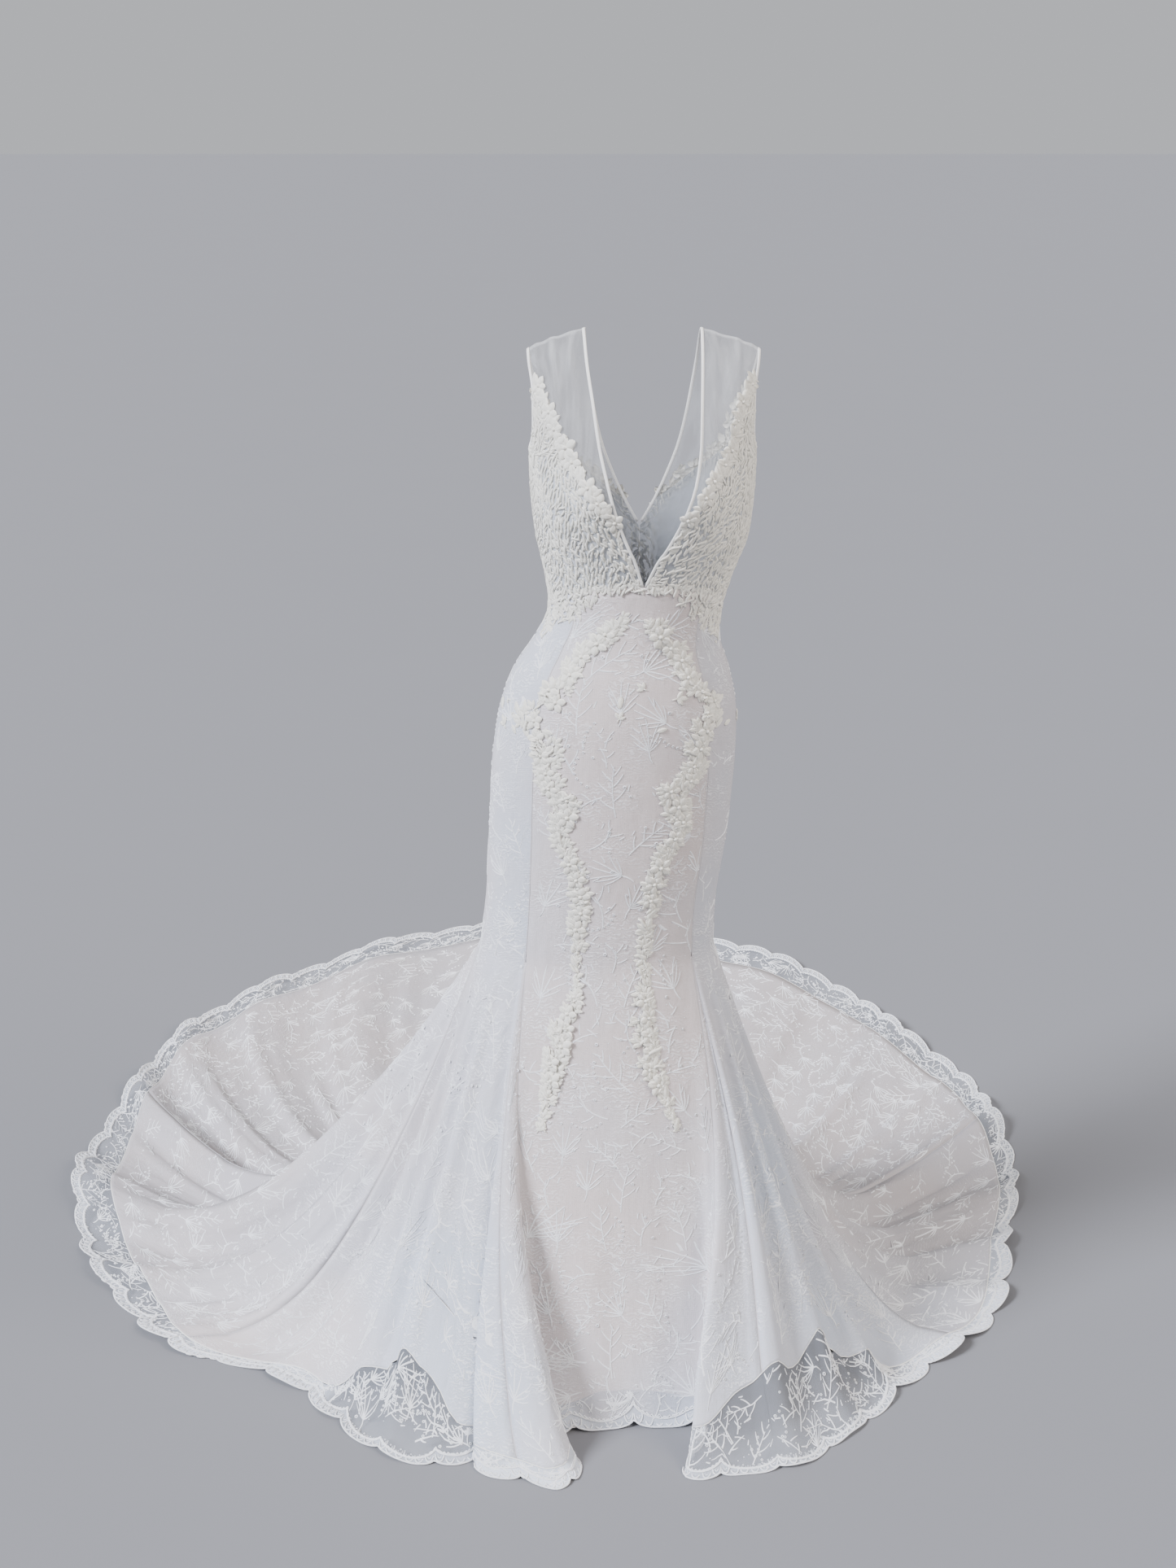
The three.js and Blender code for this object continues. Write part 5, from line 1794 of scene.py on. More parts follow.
@dataclass
class Embroiderer:
    """Covers a cloth with sprigs, worked rings and dots."""

    needle: Needle
    finishes: Finishes
    across: float = 56.0
    along: float = 58.0
    width: float = 2.0
    chains: float = 0.22
    chain_links: int = 7
    chain_step: float = 7.5
    chain_start: float = 24.0
    uneven: float = 0.16
    wander: float = 0.9
    side_gap: float = 3.0
    high: float = 0.75
    lean: float = 40.0

    def cover(self, name: str, cloth: Cloth, lift: float, seed: int, start: float = 24.0,
              end: float = 10.0) -> list[Thing]:
        """Embroiders a cloth all over, in staggered and uneven rows.

        Args:
            name: The pieces' name.
            cloth: The cloth.
            lift: Its outer face above the net, in millimetres.
            seed: The seed of the unevenness.
            start: Millimetres left plain at the first row.
            end: Millimetres left plain at the last.

        Returns:
            The threads, and the rings and dots.
        """
        rng = np.random.default_rng(seed)
        stitcher, places = Stitcher(), Places()
        count_c, count_r = cloth.points.shape[:2]
        middle = count_c // 2
        lengths = walked(cloth.points[middle])
        for course, down in enumerate(np.arange(start, max(lengths[-1] - end, start + 1), self.along)):
            row = np.interp(down, lengths, np.arange(count_r))
            net = cloth.at(np.arange(count_c, dtype=float), np.full(count_c, row))[0]
            widths = walked(net)
            number = max(1, round(widths[-1] / self.across))
            for k in range(number + 1):
                stagger, uneven = 0.5 if course % 2 else 0.0, rng.uniform(-self.uneven, self.uneven)
                at = (k + stagger + uneven) * widths[-1] / number
                if not self.side_gap < at < widths[-1] - self.side_gap:
                    continue
                column = np.interp(at, widths, np.arange(count_c))
                here = min(max(row + rng.uniform(-self.wander, self.wander), 1.0), count_r - 2.0)
                self._sprig(stitcher, places, cloth, column, here, lift, rng)
        made = [stitcher.piece(f"sprigs_{name}", self.finishes.thread)] if stitcher.count else []
        if places.rows:
            made.append(self.needle.sew(f"rings_{name}", places, self.finishes.thread, seed))
        return made

    def _sprig(self, stitcher: Stitcher, places: Places, cloth: Cloth, column: float, row: float, lift: float,
               rng: np.random.Generator) -> None:
        """Works one sprig with the rings and dots about it.

        Args:
            stitcher: Who works the twigs.
            places: Where the rings and dots are added.
            cloth: The net.
            column: The sprig's column.
            row: Its row.
            lift: The cloth's outer face above the net.
            rng: The source of its unevenness.
        """
        table = TWIGS[rng.choice(len(TWIGS), p=(0.36, 0.26, 0.22, 0.16))]
        turn, size = math.radians(rng.normal(0, self.lean)), rng.uniform(0.75, 1.1)
        hand = rng.choice((-1, 1))
        spin = np.array(((math.cos(turn), -math.sin(turn)), (math.sin(turn), math.cos(turn))))
        paths = [(stitcher.twig(twig) * (hand * size, size)) @ spin for twig in table.rows]
        stitcher.work(cloth, column, row, paths, self.width, lift + 0.05, self.high)
        if rng.random() < self.chains:
            start, bend = rng.uniform(0, 2 * math.pi), rng.choice((-1, 1)) * rng.uniform(0.12, 0.3)
            spot = self.chain_start * np.array((math.cos(start), math.sin(start)))
            for link in range(self.chain_links):
                places.near(cloth, column, row, spot, lift, 0.8, Motif.EYELET)
                turn = start + math.pi / 2 + bend * link
                spot = spot + self.chain_step * np.array((math.cos(turn), math.sin(turn)))
        spots = [(Motif.EYELET, 1.0, 15), (Motif.DOT, 1.1, 24), (Motif.DOT, 1.0, 30), (Motif.DOT, 0.9, 36)]
        if rng.random() < 0.45:
            spots.append((Motif.EYELET, 0.85, 21))
        for motif, scale, far in spots:
            way = rng.uniform(0, 2 * math.pi)
            spot = far * np.array((math.cos(way), math.sin(way)))
            places.near(cloth, column, row, spot, lift, scale, motif)


def settle(piece: Thing) -> None:
    """Keeps a piece from reaching below the floor that it lies on.

    Args:
        piece: The piece.
    """
    flat = np.empty(3 * len(piece.data.vertices))
    piece.data.vertices.foreach_get("co", flat)
    flat[2::3] = np.maximum(flat[2::3], -FLOOR_DROP * MM - FLOOR_GIVE)
    piece.data.vertices.foreach_set("co", flat)
    piece.data.update()


def declare(piece: Thing, nodes: Sequence[str] = ()) -> None:
    """Keeps a piece above the floor, lets it ride with the gown, and hides the solids that it stands for.

    Args:
        piece: The piece.
        nodes: The solids, if there are any.
    """
    settle(piece)
    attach(piece, "root")
    if nodes:
        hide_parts(*nodes)
    LOG.info("%s: %d faces", piece.name, len(piece.data.polygons))


@dataclass
class Skirt:
    """The gores and godets of the skirt, the lace border and all that is worked on them."""

    form: Form
    finishes: Finishes
    needle: Needle
    upper_rows: int = 36
    lower_rows: int = 76
    hem_step: float = 17.5
    inner: float = 0.25
    outer: float = 1.5
    scallop_columns: int = 14
    seam_lift: float = 1.15
    seam_radius: float = 0.55
    seam_step: float = 9.0
    lining_cord: float = 0.9
    lining_step: float = 6.0
    edge_cord: float = 1.35
    edge_step: float = 4.0
    border_lift: float = 0.6
    loops: int = 6
    net_over: float = 1.2
    edge_rows: float = 4.0
    band_width: float = 34.0
    band_cover: float = 0.35
    narrow_cover: float = 0.6
    front_lace: float = 0.35
    band: tuple = (28.0, 24.0, 20.0, 16.0, 8.0, 2.5, 0.0)

    def __post_init__(self) -> None:
        """Works out the whole skirt's net."""
        last = len(LINES.rows) - 1
        ends = self.form.flare(np.arange(last + 1.0), np.ones(last + 1))[0]
        gaps = np.linalg.norm(np.diff(ends, axis=0), axis=-1)
        counts = np.clip(np.ceil(gaps / self.hem_step), 3, 18).astype(int)
        lines = [i + k / n for i, n in enumerate(counts) for k in range(n)]
        self.lines = np.array([*lines, float(last)])
        line = self.lines[:, None]
        self.lined = self.form.lining_share(self.lines)
        front = smoothstep(self.lines, 29, 30.5) * (1 - smoothstep(self.lines, 38.5, 40))
        self.lined = lerp(self.lined, 1 - self.front_lace * (1 - self.lined), front)
        down = np.arange(self.upper_rows)[None] / self.upper_rows
        upper = self.form.upper(*np.broadcast_arrays(line, down))
        shares = self.lined[:, None] * (np.arange(self.lower_rows + 1) / self.lower_rows)
        shares = np.concatenate((shares, np.ones((len(shares), 1))), 1)
        lower, facing, way = self.form.flare(np.broadcast_to(line, shares.shape), shares)
        self.cloth = Cloth.on(np.concatenate((upper, lower), 1), np.array((0, 0, 1.0)), closed=True)
        blend = smoothstep(way, 0.12, 0.4)[..., None]
        normals = self.cloth.normals
        normals[:, self.upper_rows:] = unit(facing * (1 - blend) + normals[:, self.upper_rows:] * blend)
        normals[:, 0, 2] = 0
        normals[:, 0] = unit(normals[:, 0])
        self.tones = [TONES.curve(n, "line")(self.lines) for n in ("waist", "knee", "hem")]

    def down(self) -> tuple[Array, float]:
        """Returns how far down each row of the net lies, 0 to 1, and the same for the knee."""
        total = self.upper_rows + self.lower_rows + 1
        return np.arange(total + 1)[None] / total, self.upper_rows / total

    def coolness(self, columns: slice, rows: slice) -> Array:
        """Finds how cool each point of a part looks: painted cool window light on the panels that face the
        windows, and less of the warm lining showing.

        Args:
            columns: The part's columns.
            rows: Its rows.

        Returns:
            0 where it is warm, to 1.
        """
        down, knee = self.down()
        waist, middle, hem = (t[:, None] for t in self.tones)
        high = lerp(waist, middle, np.clip(down / knee, 0, 1))
        return lerp(high, hem, smoothstep(down, knee, 0.9))[columns, rows]

    def dusk(self, columns: slice, rows: slice) -> Array:
        """Finds how much painted shade each point of a part gets, for the train that lies in shadow.

        Args:
            columns: The part's columns.
            rows: Its rows.

        Returns:
            0 in front, to 1 on the train.
        """
        away = np.minimum(self.lines, self.lines[-1] - self.lines)[:, None]
        down, knee = self.down()
        return ((1 - smoothstep(away, 8.5, 13)) * smoothstep(down, knee, 0.7))[columns, rows]

    def find(self, bearing: float, height: float) -> tuple[float, float]:
        """Finds a place of the upper skirt in the net.

        Args:
            bearing: Degrees about the body.
            height: Millimetres from the floor.

        Returns:
            The column and the row.
        """
        column = float(np.interp(bearing, self.form.knee(self.lines), np.arange(len(self.lines))))
        level = self.cloth.points[int(column), :-1, 2]
        row = np.interp(FLOOR_DROP - height, -level, np.arange(len(level)))
        return column, float(row)

    def build(self) -> None:
        """Builds every gore with its border and embroidery."""
        workers = [Embroiderer(self.needle, self.finishes, *sizes) for sizes in ((), (36, 33, 1.9))]
        for number, gore in enumerate(GORES):
            inside = np.flatnonzero((self.lines >= gore.start) & (self.lines <= gore.end))
            columns = slice(inside[0], inside[-1] + 1)
            rows = slice(self.upper_rows if gore.godet else 0, self.upper_rows + self.lower_rows + 1)
            panel = self.cloth.part(columns, rows).drawn_in(SEAM / 2)
            cloths = self.finishes.skirt, self.finishes.lining
            piece = MeshMaker.shell(f"gore_{gore.name}", panel, self.inner, self.outer, *cloths)
            # Marks where cool window light is painted into the cloth's colour.
            MeshMaker.mark(piece, "coolness", np.tile(self.coolness(columns, rows).ravel(), 2))
            # Marks the painted shade of the train.
            MeshMaker.mark(piece, "dusk", np.tile(self.dusk(columns, rows).ravel(), 2))
            declare(piece, [gore.name])
            worked = workers[0].cover(gore.name, panel, self.outer, 100 + number,
                                      30.0 if gore.godet else 60.0)
            hem = panel.points[:, -1] + panel.normals[:, -1] * self.lining_cord
            edge = self.needle.lay(f"lining_hem_{gore.name}", [hem], self.lining_cord, self.lining_step,
                                   self.finishes.binding)
            for extra in (*worked, edge):
                declare(extra)
            self.border(gore, columns, workers[1], number)
        self.seams()

    def seams(self) -> None:
        """Works the cord in every seam between the gores."""
        spans = [(gore.start, gore.godet or gore.name == "front", True) for gore in GORES]
        paths = []
        for line, below, down in (*spans, (GODET_SEAM, False, False)):
            column = int(np.flatnonzero(self.lines >= line)[0])
            last = self.upper_rows + (self.lower_rows if down else 0)
            rows = slice(self.upper_rows if below else 0, last + 1)
            paths.append(self.cloth.points[column, rows] + self.cloth.normals[column, rows] * self.seam_lift)
        cords = self.needle.lay("princess_seams", paths, self.seam_radius, self.seam_step,
                                self.finishes.seam, 4)
        declare(cords)

    def border(self, gore: Gore, columns: slice, worker: Embroiderer, number: int) -> None:
        """Builds the sheer lace border of one gore, with its scallops.

        Args:
            gore: The gore.
            columns: Its columns in the skirt's net.
            worker: Who embroiders it.
            number: The gore's number, for its seeds.
        """
        tips = self.cloth.points[columns, -1]
        lengths = walked(tips)
        scallops = max(1, round(lengths[-1] / SCALLOP_WIDTH))
        marks = np.linspace(0, 1, scallops * self.scallop_columns + 1)
        lines = np.interp(marks * lengths[-1], lengths, self.lines[columns])
        lined = self.form.lining_share(lines)
        start, tip = self.form.flare(lines, lined)[0], self.form.flare(lines, np.ones(len(lines)))[0]
        width = np.linalg.norm(tip - start, axis=-1)
        lobe = np.abs(np.sin(np.pi * marks * scallops))
        cut = SCALLOP_DEPTH * (1 - lobe ** SCALLOP_ROUND) * np.minimum(1, width / NARROW_LACE)
        left = (width - cut)[:, None]
        band = np.minimum(1, left / self.band_width) * np.array(self.band)
        inner_rows = np.linspace(1, 0, 7)[:-1]
        from_edge = np.concatenate((band[:, :1] + (left - band[:, :1]) * inner_rows, band), 1)
        shares = lerp(lined[:, None], 1, (left - from_edge) / width[:, None])
        points, facing, _ = self.form.flare(np.broadcast_to(lines[:, None], shares.shape), shares)
        cloth = Cloth.on(points, facing).drawn_in(SEAM / 2)
        over = self.net_over if gore.name == "front" else 0.0
        piece = MeshMaker.sheet(f"border_{gore.name}", cloth, self.border_lift + over, self.finishes.border)
        narrow = self.narrow_cover * (1 - smoothstep(width, 30, 60))[:, None]
        dense = self.band_cover * (1 - smoothstep(from_edge, 19, 24))
        MeshMaker.mark(piece, "cover", (dense + narrow).ravel())
        declare(piece, [f"hem_lace_{gore.name}"])
        made = worker.cover(f"border_{gore.name}", cloth, 0.7 + over, 200 + number, 7.0, 16.0)
        loops = Places()
        row = shares.shape[1] - 1.0
        for k in range(scallops * self.loops):
            column = (k + 0.5) / self.loops * self.scallop_columns
            loops.add(cloth, column, row - 0.02, 0.7 + over, 0, 0.98, Motif.LOOP)
        made.append(self.needle.sew(f"loops_{gore.name}", loops, self.finishes.thread, 300 + number,
                                    0.1, 0.06))
        along = np.arange(len(lines), dtype=float)
        edges = [cloth.at(along, np.full(len(lines), r)) for r in (row, row - self.edge_rows)]
        points = np.arange(0, len(lines) - 1, 0.5)
        zigzag = cloth.at(points, row - self.edge_rows - 1.0 + np.arange(len(points)) % 2)
        paths = [p + n * (0.9 + over) for p, n in (*edges, zigzag)]
        made.append(self.needle.lay(f"edge_cord_{gore.name}", paths, self.edge_cord, self.edge_step,
                                    self.finishes.thread, 5))
        for extra in made:
            declare(extra)


@dataclass
class Spray:
    """One appliqued spray of leaves, petals and flowers down the skirt."""

    side: Side
    table: Table
    skirt: Skirt
    step: float = 6.2
    lift: float = 1.7
    crowd: float = 7.0
    flower_lift: float = 0.6
    flower_size: float = 1.7

    def build(self) -> None:
        """Sews the spray."""
        rng = np.random.default_rng(41 + self.side.value)
        at = {n: self.table.curve(n) for n in self.table.names}
        places, cloth = Places(), self.skirt.cloth
        last = len(self.table.rows) - 1
        shares = np.linspace(0, last, 60 * last)
        heights, radius = at["height"](shares), self.skirt.form.half(np.maximum(KNEE, at["height"](shares)))
        drift = np.radians(np.diff(at["bearing"](shares))) * radius[1:]
        lengths = np.append(0, np.hypot(np.diff(heights), drift).cumsum())
        for k, way in enumerate(np.arange(2, lengths[-1], self.step)):
            share = float(np.interp(way, lengths, shares))
            half = float(at["half"](share))
            column, row = self.skirt.find(float(at["bearing"](share)), float(at["height"](share)))
            motif = (Motif.PETAL, Motif.CORD, Motif.LEAVES)[k % 3]
            places.add(cloth, column, row, self.lift, rng.normal(0, 30), 0.85, motif)
            for _ in range(1 + int(half / self.crowd)):
                aside = rng.uniform(-1, 1) * half
                c, r = cloth.walk(column, row, np.array(aside), np.array(rng.uniform(-4, 4)))
                lean = 55 * aside / max(half, 1) + rng.normal(0, 30)
                motif = rng.choice((Motif.PETAL, Motif.LEAVES, Motif.CORD, Motif.HOOK, Motif.BUD),
                                   p=(.5, .26, .06, .08, .1))
                places.add(cloth, float(c), float(r), self.lift, lean, rng.uniform(1.1, 1.6), motif)
            for hand in (-1, 1):
                if half > 6 and rng.random() < 0.42:
                    c, r = cloth.walk(column, row, np.array(hand * half), np.array(rng.uniform(-3, 3)))
                    lean, size = hand * rng.uniform(30, 95), rng.uniform(1.0, 1.45)
                    places.add(cloth, float(c), float(r), self.lift, lean, size, Motif.LEAVES,
                               rng.uniform(2, 10))
            if half > 9 and k % 4 == 0:
                c, r = cloth.walk(column, row, np.array(rng.uniform(-0.6, 0.6) * half), np.array(0.0))
                places.add(cloth, float(c), float(r), self.lift + self.flower_lift, rng.uniform(0, 70),
                           self.flower_size, Motif.FLOWER)
        piece = self.skirt.needle.sew(f"spray_{self.side.word}", places, self.skirt.finishes.cord,
                                      71 + self.side.value)
        declare(piece, [f"applique_{self.side.word}"])


@dataclass
class WaistLace:
    """The loose lower edge of the bodice lace, that lies over the waist seam and the hips."""

    skirt: Skirt
    step: float = 2.6
    course: float = 7.5
    fringe: float = 7.0
    hip_depth: float = 46.0
    lift: float = 1.6

    def build(self) -> None:
        """Sews the edge all round."""
        rng = np.random.default_rng(67)
        places, cloth = Places(), self.skirt.cloth
        for bearing in np.arange(-178.0, 180.0, self.step):
            aside = abs(bearing)
            deep = float(smoothstep(aside, 16, 50) * (1 - smoothstep(aside, 66, 112)))
            depth = (self.fringe + self.hip_depth * deep) * rng.uniform(0.55, 1.1)
            top = float(self.skirt.form.waist(np.array(bearing)))
            for down in np.arange(3.0, depth, self.course):
                column, row = self.skirt.find(bearing + rng.uniform(-1.2, 1.2),
                                              top - down - rng.uniform(0, 3))
                motif = rng.choice((Motif.CORD, Motif.PETAL, Motif.HOOK, Motif.LEAVES),
                                   p=(.34, .34, .16, .16))
                lean, size = 180 + rng.normal(0, 38), rng.uniform(0.8, 1.15)
                places.add(cloth, column, row, self.lift, lean, size, motif)
        piece = self.skirt.needle.sew("waist_lace", places, self.skirt.finishes.cord, 91)
        declare(piece)


@dataclass
class Bodice:
    """One half of the bodice: its corded lace, sheer shoulder piece and bindings."""

    side: Side
    form: Form
    finishes: Finishes
    needle: Needle
    columns: int = 56
    front_rows: int = 72
    back_rows: int = 50
    yoke_rows: int = 44
    binding_width: float = 4.0
    binding_high: float = 1.8
    binding_sides: int = 10
    middle_height: float = 1250.0
    course: float = 8.6
    front_spacing: float = 1.4
    back_spacing: float = 2.3
    flower_step: float = 11.5
    waist_step: float = 2.6
    neck_step: float = 3.1
    binding_step: float = 5.0
    seam_cover: float = 0.34
    fold_cover: float = 0.16
    front_cover: float = 0.55
    back_cover: float = 0.35

    def lace(self, face: Face, rows: int) -> Cloth:
        """Makes the net of one lace panel, from its upper edge to the waist seam.

        Args:
            face: Front or back.
            rows: How many rows of cells it has.

        Returns:
            The net.
        """
        across = np.linspace(0, 1, self.columns + 1)[:, None]
        low = self.form.bodice_waist(self.side, face, across[:, 0])[:, None]
        high = self.form.lace_edge[face](across) - SEAM
        heights = lerp(high, low, np.linspace(0, 1, rows + 1)[None])
        points = self.form.bodice(self.side, face, np.broadcast_to(across, heights.shape), heights)
        return Cloth.on(points, points - (0, 0, self.middle_height - FLOOR_DROP))

    def yoke(self) -> tuple[Cloth, Array]:
        """Makes the net of the sheer shoulder piece, from back to front.

        Returns:
            The net, and how much denser than bare tulle it is at each point.
        """
        across = np.linspace(0, 1, self.columns + 1)[:, None]
        shares = np.sin(np.linspace(0, np.pi / 2, self.yoke_rows // 2 + 1))[None]
        nets = []
        for face in (Face.BACK, Face.FRONT):
            heights = lerp(self.form.lace_edge[face](across) + SEAM, SHOULDER, shares)
            nets.append(self.form.bodice(self.side, face, np.broadcast_to(across, heights.shape), heights))
        points = np.concatenate((nets[0], nets[1][:, -2::-1]), 1)
        cloth = Cloth.on(points, points - (0, 0, self.middle_height - FLOOR_DROP))
        rng = np.random.default_rng(5 + self.side.value)
        down = np.linspace(0, 1, points.shape[1])[None]
        rise = 0
        for middle, wide, high in VEIL_FOLDS:
            centre = middle + rng.uniform(-0.04, 0.04) + 0.05 * np.sin(down * 5 + rng.uniform(0, 6))
            rise = rise + high * np.exp(-((across - centre) / wide) ** 2)
        calm = np.sin(np.pi * down) ** 0.5 * np.sin(np.pi * across) ** 0.5
        cloth.points = points + cloth.normals * (rise * calm)[..., None]
        from_crest = np.linalg.norm(points - points[:, self.yoke_rows // 2][:, None], axis=-1)
        seam = self.seam_cover * (1 - smoothstep(from_crest, 4.0, 7.0))
        return cloth, np.maximum(seam, self.fold_cover * np.clip(rise * calm, 0, 1.2))

    def build(self) -> None:
        """Builds the pieces of this half."""
        word = self.side.word
        front, back = self.lace(Face.FRONT, self.front_rows), self.lace(Face.BACK, self.back_rows)
        yoke, denser = self.yoke()
        for face, cloth in ((Face.FRONT, front), (Face.BACK, back)):
            name = f"bodice_{face.value}_{word}"
            panel = cloth.drawn_in(SEAM / 2)
            ground = self.finishes.ground
            piece = MeshMaker.shell(f"lace_{face.value}_{word}", panel, 0.3, 1.0, ground, ground)
            MeshMaker.mark(piece, "cover", np.tile(self._cover(panel, face).ravel(), 2))
            declare(piece, [name])
            cords = self._cords(face, panel)
            declare(cords)
        veil = MeshMaker.sheet(f"tulle_{word}", yoke, 0.5, self.finishes.tulle)
        MeshMaker.mark(veil, "cover", denser.ravel())
        declare(veil, [f"yoke_{word}"])
        open_front = front.points[-1, :, 2] + FLOOR_DROP > UNDERARM
        open_back = back.points[-1, :, 2] + FLOOR_DROP > UNDERARM
        above_v = back.points[0, :, 2] + FLOOR_DROP > BACK_V + 4
        arm = self._path([(front, -1, open_front, True), (yoke, -1, None, True),
                          (back, -1, open_back, False)])
        neck = self._path([(front, 0, None, True), (yoke, 0, None, True), (back, 0, above_v, False)])
        for label, path in (("armhole", arm), ("neck", neck)):
            piece = self._binding(f"edge_{label}_{word}", *path)
            declare(piece, [f"{label}_binding_{word}"])

    def _cover(self, cloth: Cloth, face: Face) -> Array:
        """Finds how much thicker the lace ground is than bare net: full in the cup, none at the V.

        Args:
            cloth: The net.
            face: Front or back.

        Returns:
            The extra cover at each point.
        """
        from_neck = np.linalg.norm(cloth.points - cloth.points[:1], axis=-1)
        below_edge = cloth.chart()[..., 1] / MM
        inner = smoothstep(from_neck, 14, 44) * smoothstep(below_edge, 8, 30)
        return inner * (self.front_cover if face is Face.FRONT else self.back_cover)

    def _cords(self, face: Face, cloth: Cloth) -> Thing:
        """Sews the cords, petals and flowers of a lace panel.

        Args:
            face: Front or back.
            cloth: The panel's net.

        Returns:
            The piece.
        """
        rng = np.random.default_rng(11 + 2 * self.side.value + (face is Face.BACK))
        places = Places()
        columns, rows = cloth.points.shape[:2]
        lengths = np.linalg.norm(np.diff(cloth.points, axis=1), axis=-1).cumsum(1)
        spacing = self.front_spacing if face is Face.FRONT else self.back_spacing
        for course, down in enumerate(np.arange(0.0, 420.0, self.course)):
            for column in np.arange(0.4 + (course % 2) * 0.65, columns - 1.2, spacing):
                c = float(np.clip(column + rng.uniform(-0.4, 0.4), 0.3, columns - 1.3))
                total = lengths[int(c), -1]
                at = down + rng.uniform(-1.8, 1.8)
                if not 1.5 < at < total - 1.0:
                    continue
                row = float(np.interp(at, np.append(0, lengths[int(c)]), np.arange(rows)))
                here, neck = cloth.at(np.array((c, 0.0)), np.array((row, row)))[0]
                from_neck = float(np.linalg.norm(here - neck))
                if 3 < from_neck < 22 and rng.random() < 0.42 and face is Face.FRONT:
                    continue
                motif = rng.choice((Motif.CORD, Motif.PETAL, Motif.HOOK, Motif.BUD), p=(0.74, 0.1, 0.1, 0.06))
                lift = 0.7 + rng.uniform(0, 0.5)
                lean = self.side.value * 9 + 20 * math.sin(c * 0.21 + row * 0.09) + rng.normal(0, 16)
                places.add(cloth, c, row, lift, lean, rng.uniform(0.75, 1.1), motif)
        self._edge(places, cloth, rng)
        name = f"cords_{face.value}_{self.side.word}"
        return self.needle.sew(name, places, self.finishes.cord, 21 + self.side.value)

    def _edge(self, places: Places, cloth: Cloth, rng: np.random.Generator) -> None:
        """Adds the flowers, leaves and petals of the upper edge, the V and the waist.

        Args:
            places: Where they are added.
            cloth: The panel's net.
            rng: The source of their unevenness.
        """
        top = walked(cloth.points[:, 0])
        index = np.arange(len(top))
        for k, at in enumerate(np.arange(6, top[-1] - 3, self.flower_step)):
            column = float(np.interp(at, top, index))
            motif = (Motif.FLOWER, Motif.PETAL, Motif.LEAVES, Motif.FLOWER, Motif.PETAL)[k % 5]
            turn = rng.uniform(-50, 50) if motif is not Motif.FLOWER else rng.uniform(0, 70)
            places.add(cloth, column, 0.2, 1.6, turn, rng.uniform(1.35, 1.85), motif, rng.uniform(-1, 8.0))
            beside = min(column + 1.2, index[-1] - 0.5)
            places.add(cloth, beside, 1.8, 1.5, rng.uniform(-70, 70), 1.3, Motif.PETAL)
            if k % 5 == 3:
                places.add(cloth, column, 0.2, 1.3, -self.side.value * 62, 1.45, Motif.LEAVES, 12.0)
        low = cloth.points.shape[1] - 1.0
        for column in np.arange(1.0, len(top) - 1.5, self.waist_step):
            row, lean, size = low - rng.uniform(0.2, 1.2), 180 + rng.normal(0, 34), rng.uniform(0.85, 1.1)
            motif = Motif.PETAL if rng.random() < 0.6 else Motif.LEAVES
            places.add(cloth, float(column), row, 1.2, lean, size, motif)
        for row in np.arange(4.0, low - 2, self.neck_step):
            column, lean = rng.uniform(1.0, 2.2), rng.normal(self.side.value * 20, 35)
            places.add(cloth, column, float(row), 1.0, lean, 0.9, Motif.PETAL)

    @staticmethod
    def _path(parts: Sequence[tuple[Cloth, int, Array | None, bool]]) -> tuple[Array, Array, Array]:
        """Joins edge columns of several nets into one path.

        Args:
            parts: For each net its edge column, the rows that count, and whether they run backwards.

        Returns:
            The path's points, its normals, and the directions out of the cloth.
        """
        points, normals, away = [], [], []
        for cloth, edge, rows, backwards in parts:
            beside = cloth.points[1] if edge == 0 else cloth.points[-2]
            one = [cloth.points[edge], cloth.normals[edge], cloth.points[edge] - beside]
            if rows is not None:
                one = [a[rows] for a in one]
            one = [a[::-1] if backwards else a for a in one]
            for total, values in zip((points, normals, away), one):
                total.append(values)
        return np.concatenate(points), np.concatenate(normals), np.concatenate(away)

    def _binding(self, name: str, points: Array, normals: Array, away: Array) -> Thing:
        """Builds a rounded binding beside an edge.

        Args:
            name: The piece's name.
            points: The edge's points.
            normals: The cloth's normals there.
            away: The directions out of the cloth.

        Returns:
            The piece.
        """
        apart = walked(points)
        even = np.linspace(0, apart[-1], int(apart[-1] / self.binding_step) + 1)
        points, normals, away = (np.stack([np.interp(even, apart, a[:, k]) for k in range(3)], -1)
                                 for a in (points, normals, away))
        heading = unit(np.gradient(points, axis=0))
        normals = unit(normals)
        beside = unit(np.cross(heading, normals))
        beside *= np.sign(np.einsum("ij,ij->i", beside, away))[:, None]
        turn = 2 * np.pi * (np.arange(self.binding_sides) + 0.5) / self.binding_sides
        wide = self.binding_width / 2 * np.sign(np.cos(turn)) * np.abs(np.cos(turn)) ** 0.7
        tall = self.binding_high / 2 * np.sign(np.sin(turn)) * np.abs(np.sin(turn)) ** 0.8
        centre = points + beside * (SEAM + self.binding_width / 2) + normals * self.binding_high / 2
        rings = centre[:, None] + beside[:, None] * wide[:, None] + normals[:, None] * tall[:, None]
        verts, faces = rings.reshape(-1, 3), MeshMaker.tube(len(points), self.binding_sides)
        t = verts[faces]
        if np.einsum("ij,ij->", t[:, 0], np.cross(t[:, 1], t[:, 2])) < 0:
            faces = faces[:, ::-1]
        return MeshMaker.link(name, verts * MM, faces, (self.finishes.binding,))


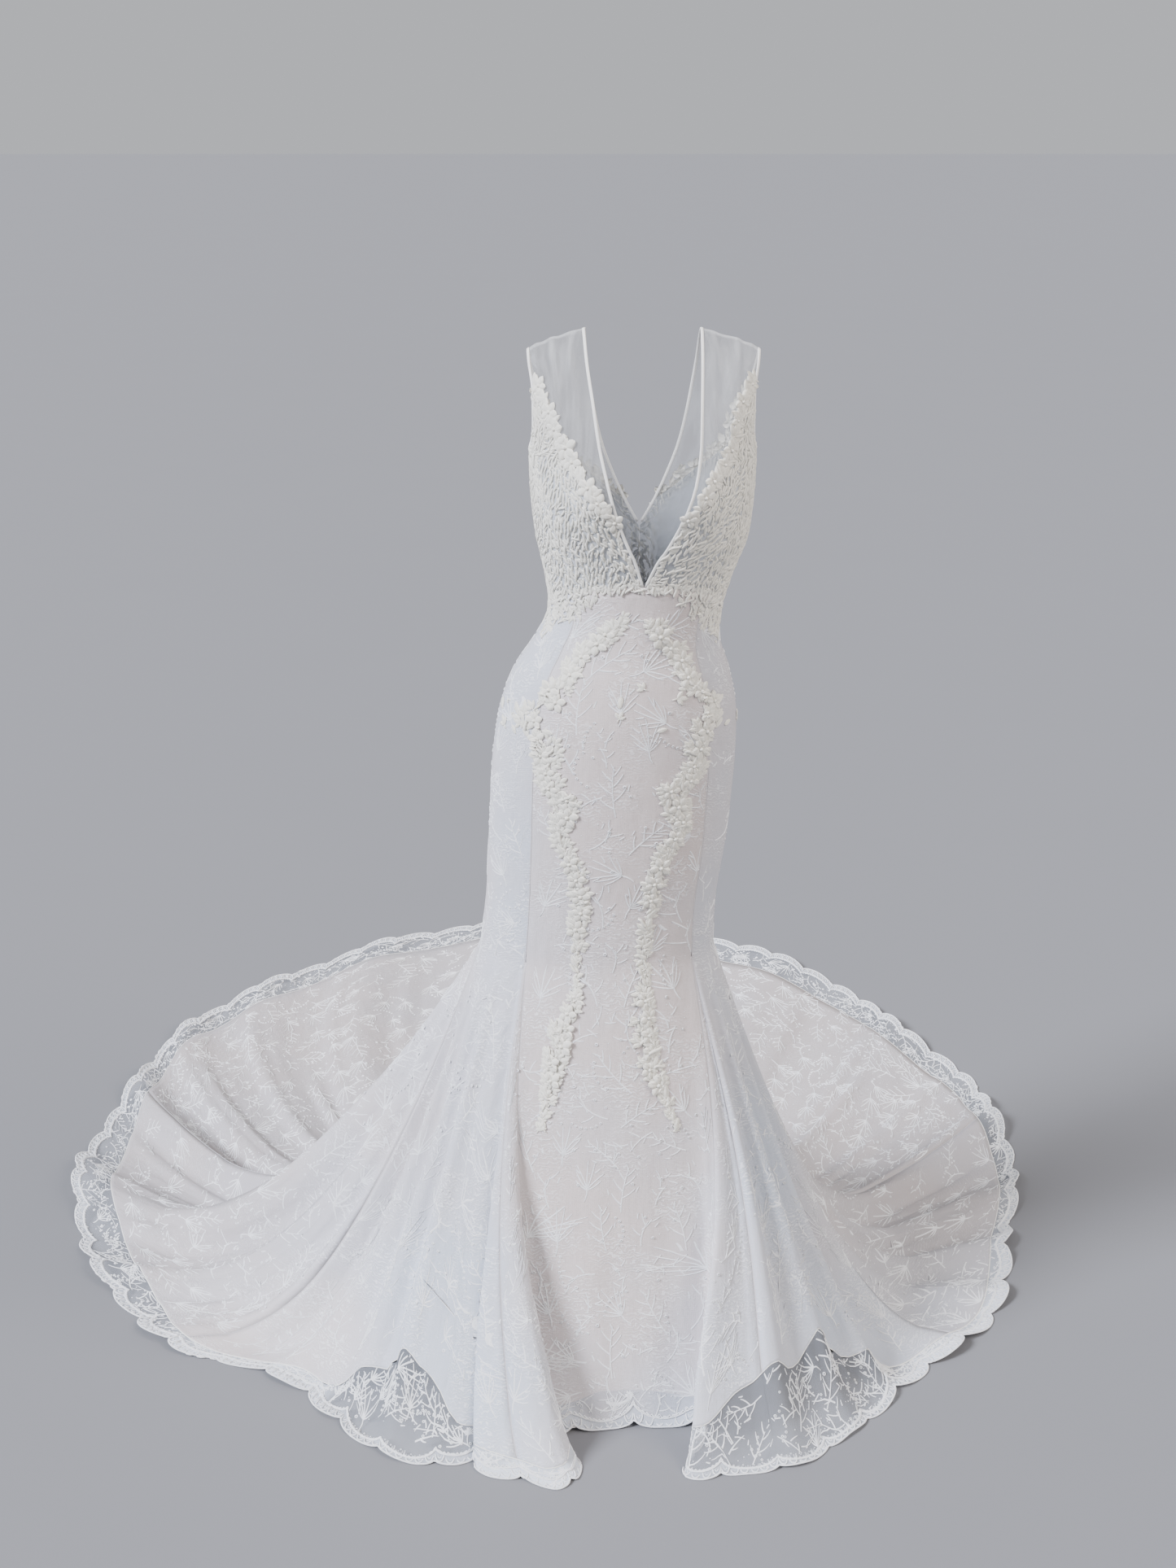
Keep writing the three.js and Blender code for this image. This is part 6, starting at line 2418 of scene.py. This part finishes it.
@dataclass(frozen=True)
class Lamp:
    """A far light: how it is turned, its strength, its spread in degrees and its colour."""

    name: str
    turn: tuple
    strength: float
    spread: float
    colour: str

    def place(self) -> None:
        """Puts the light in the scene."""
        lamp = bpy.data.lights.new(self.name, "SUN")
        lamp.angle, lamp.energy = math.radians(self.spread), self.strength
        lamp.color = srgb(self.colour)[:3]
        placed(self.name, lamp).rotation_euler = [math.radians(a) for a in self.turn]


@dataclass
class Studio:
    """The floor, the lights and the camera."""

    floor_material: Material
    lens: float = 45.77
    sensor: float = 36.0
    farthest: float = 50.0
    seat: tuple = (-0.071, -2.62, 0.34)
    pitch: float = 70.0
    floor_half: float = 40.0
    floor_gap: float = 0.0006
    sky: str = "d3d5da"
    sky_strength: float = 0.85
    lamps: tuple = (Lamp("window", (54, 0, -62), 8.8, 20, "f2f5ff"),
                    Lamp("softbox", (52, 0, 66), 2.9, 38, "fff4ea"))

    def build(self) -> None:
        """Sets up the studio."""
        level = -FLOOR_DROP * MM - self.floor_gap
        corners = np.array(((-1, -1, 0), (1, -1, 0), (1, 1, 0), (-1, 1, 0))) * self.floor_half + (0, 0, level)
        floor = MeshMaker.link("floor", corners, np.array(((0, 1, 2, 3),)), (self.floor_material,))
        for lamp in self.lamps:
            lamp.place()
        world = bpy.data.worlds.new("studio")
        world.use_nodes = True
        sky = world.node_tree.nodes["Background"].inputs
        sky["Color"].default_value, sky["Strength"].default_value = srgb(self.sky), self.sky_strength
        bpy.context.scene.world = world
        lens = bpy.data.cameras.new("camera")
        lens.lens, lens.sensor_width, lens.clip_end = self.lens, self.sensor, self.farthest
        camera = placed("camera", lens)
        camera.location, camera.rotation_euler = self.seat, (math.radians(self.pitch), 0, 0)
        bpy.context.scene.camera = camera


def main() -> None:
    """Builds the gown and the studio."""
    logging.basicConfig(level=logging.INFO, format="%(message)s")
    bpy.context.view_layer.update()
    finishes = Finishes()
    needle = Needle()
    form = Form()
    Studio(finishes.floor).build()
    skirt = Skirt(form, finishes, needle)
    skirt.build()
    WaistLace(skirt).build()
    for side, table in ((Side.RIGHT, SPRAY_RIGHT), (Side.LEFT, SPRAY_LEFT)):
        Spray(side, table, skirt).build()
        Bodice(side, form, finishes, needle).build()
    needle.box.clear()
    LOG.info("pieces are ready")


if __name__ == "__main__":
    main()
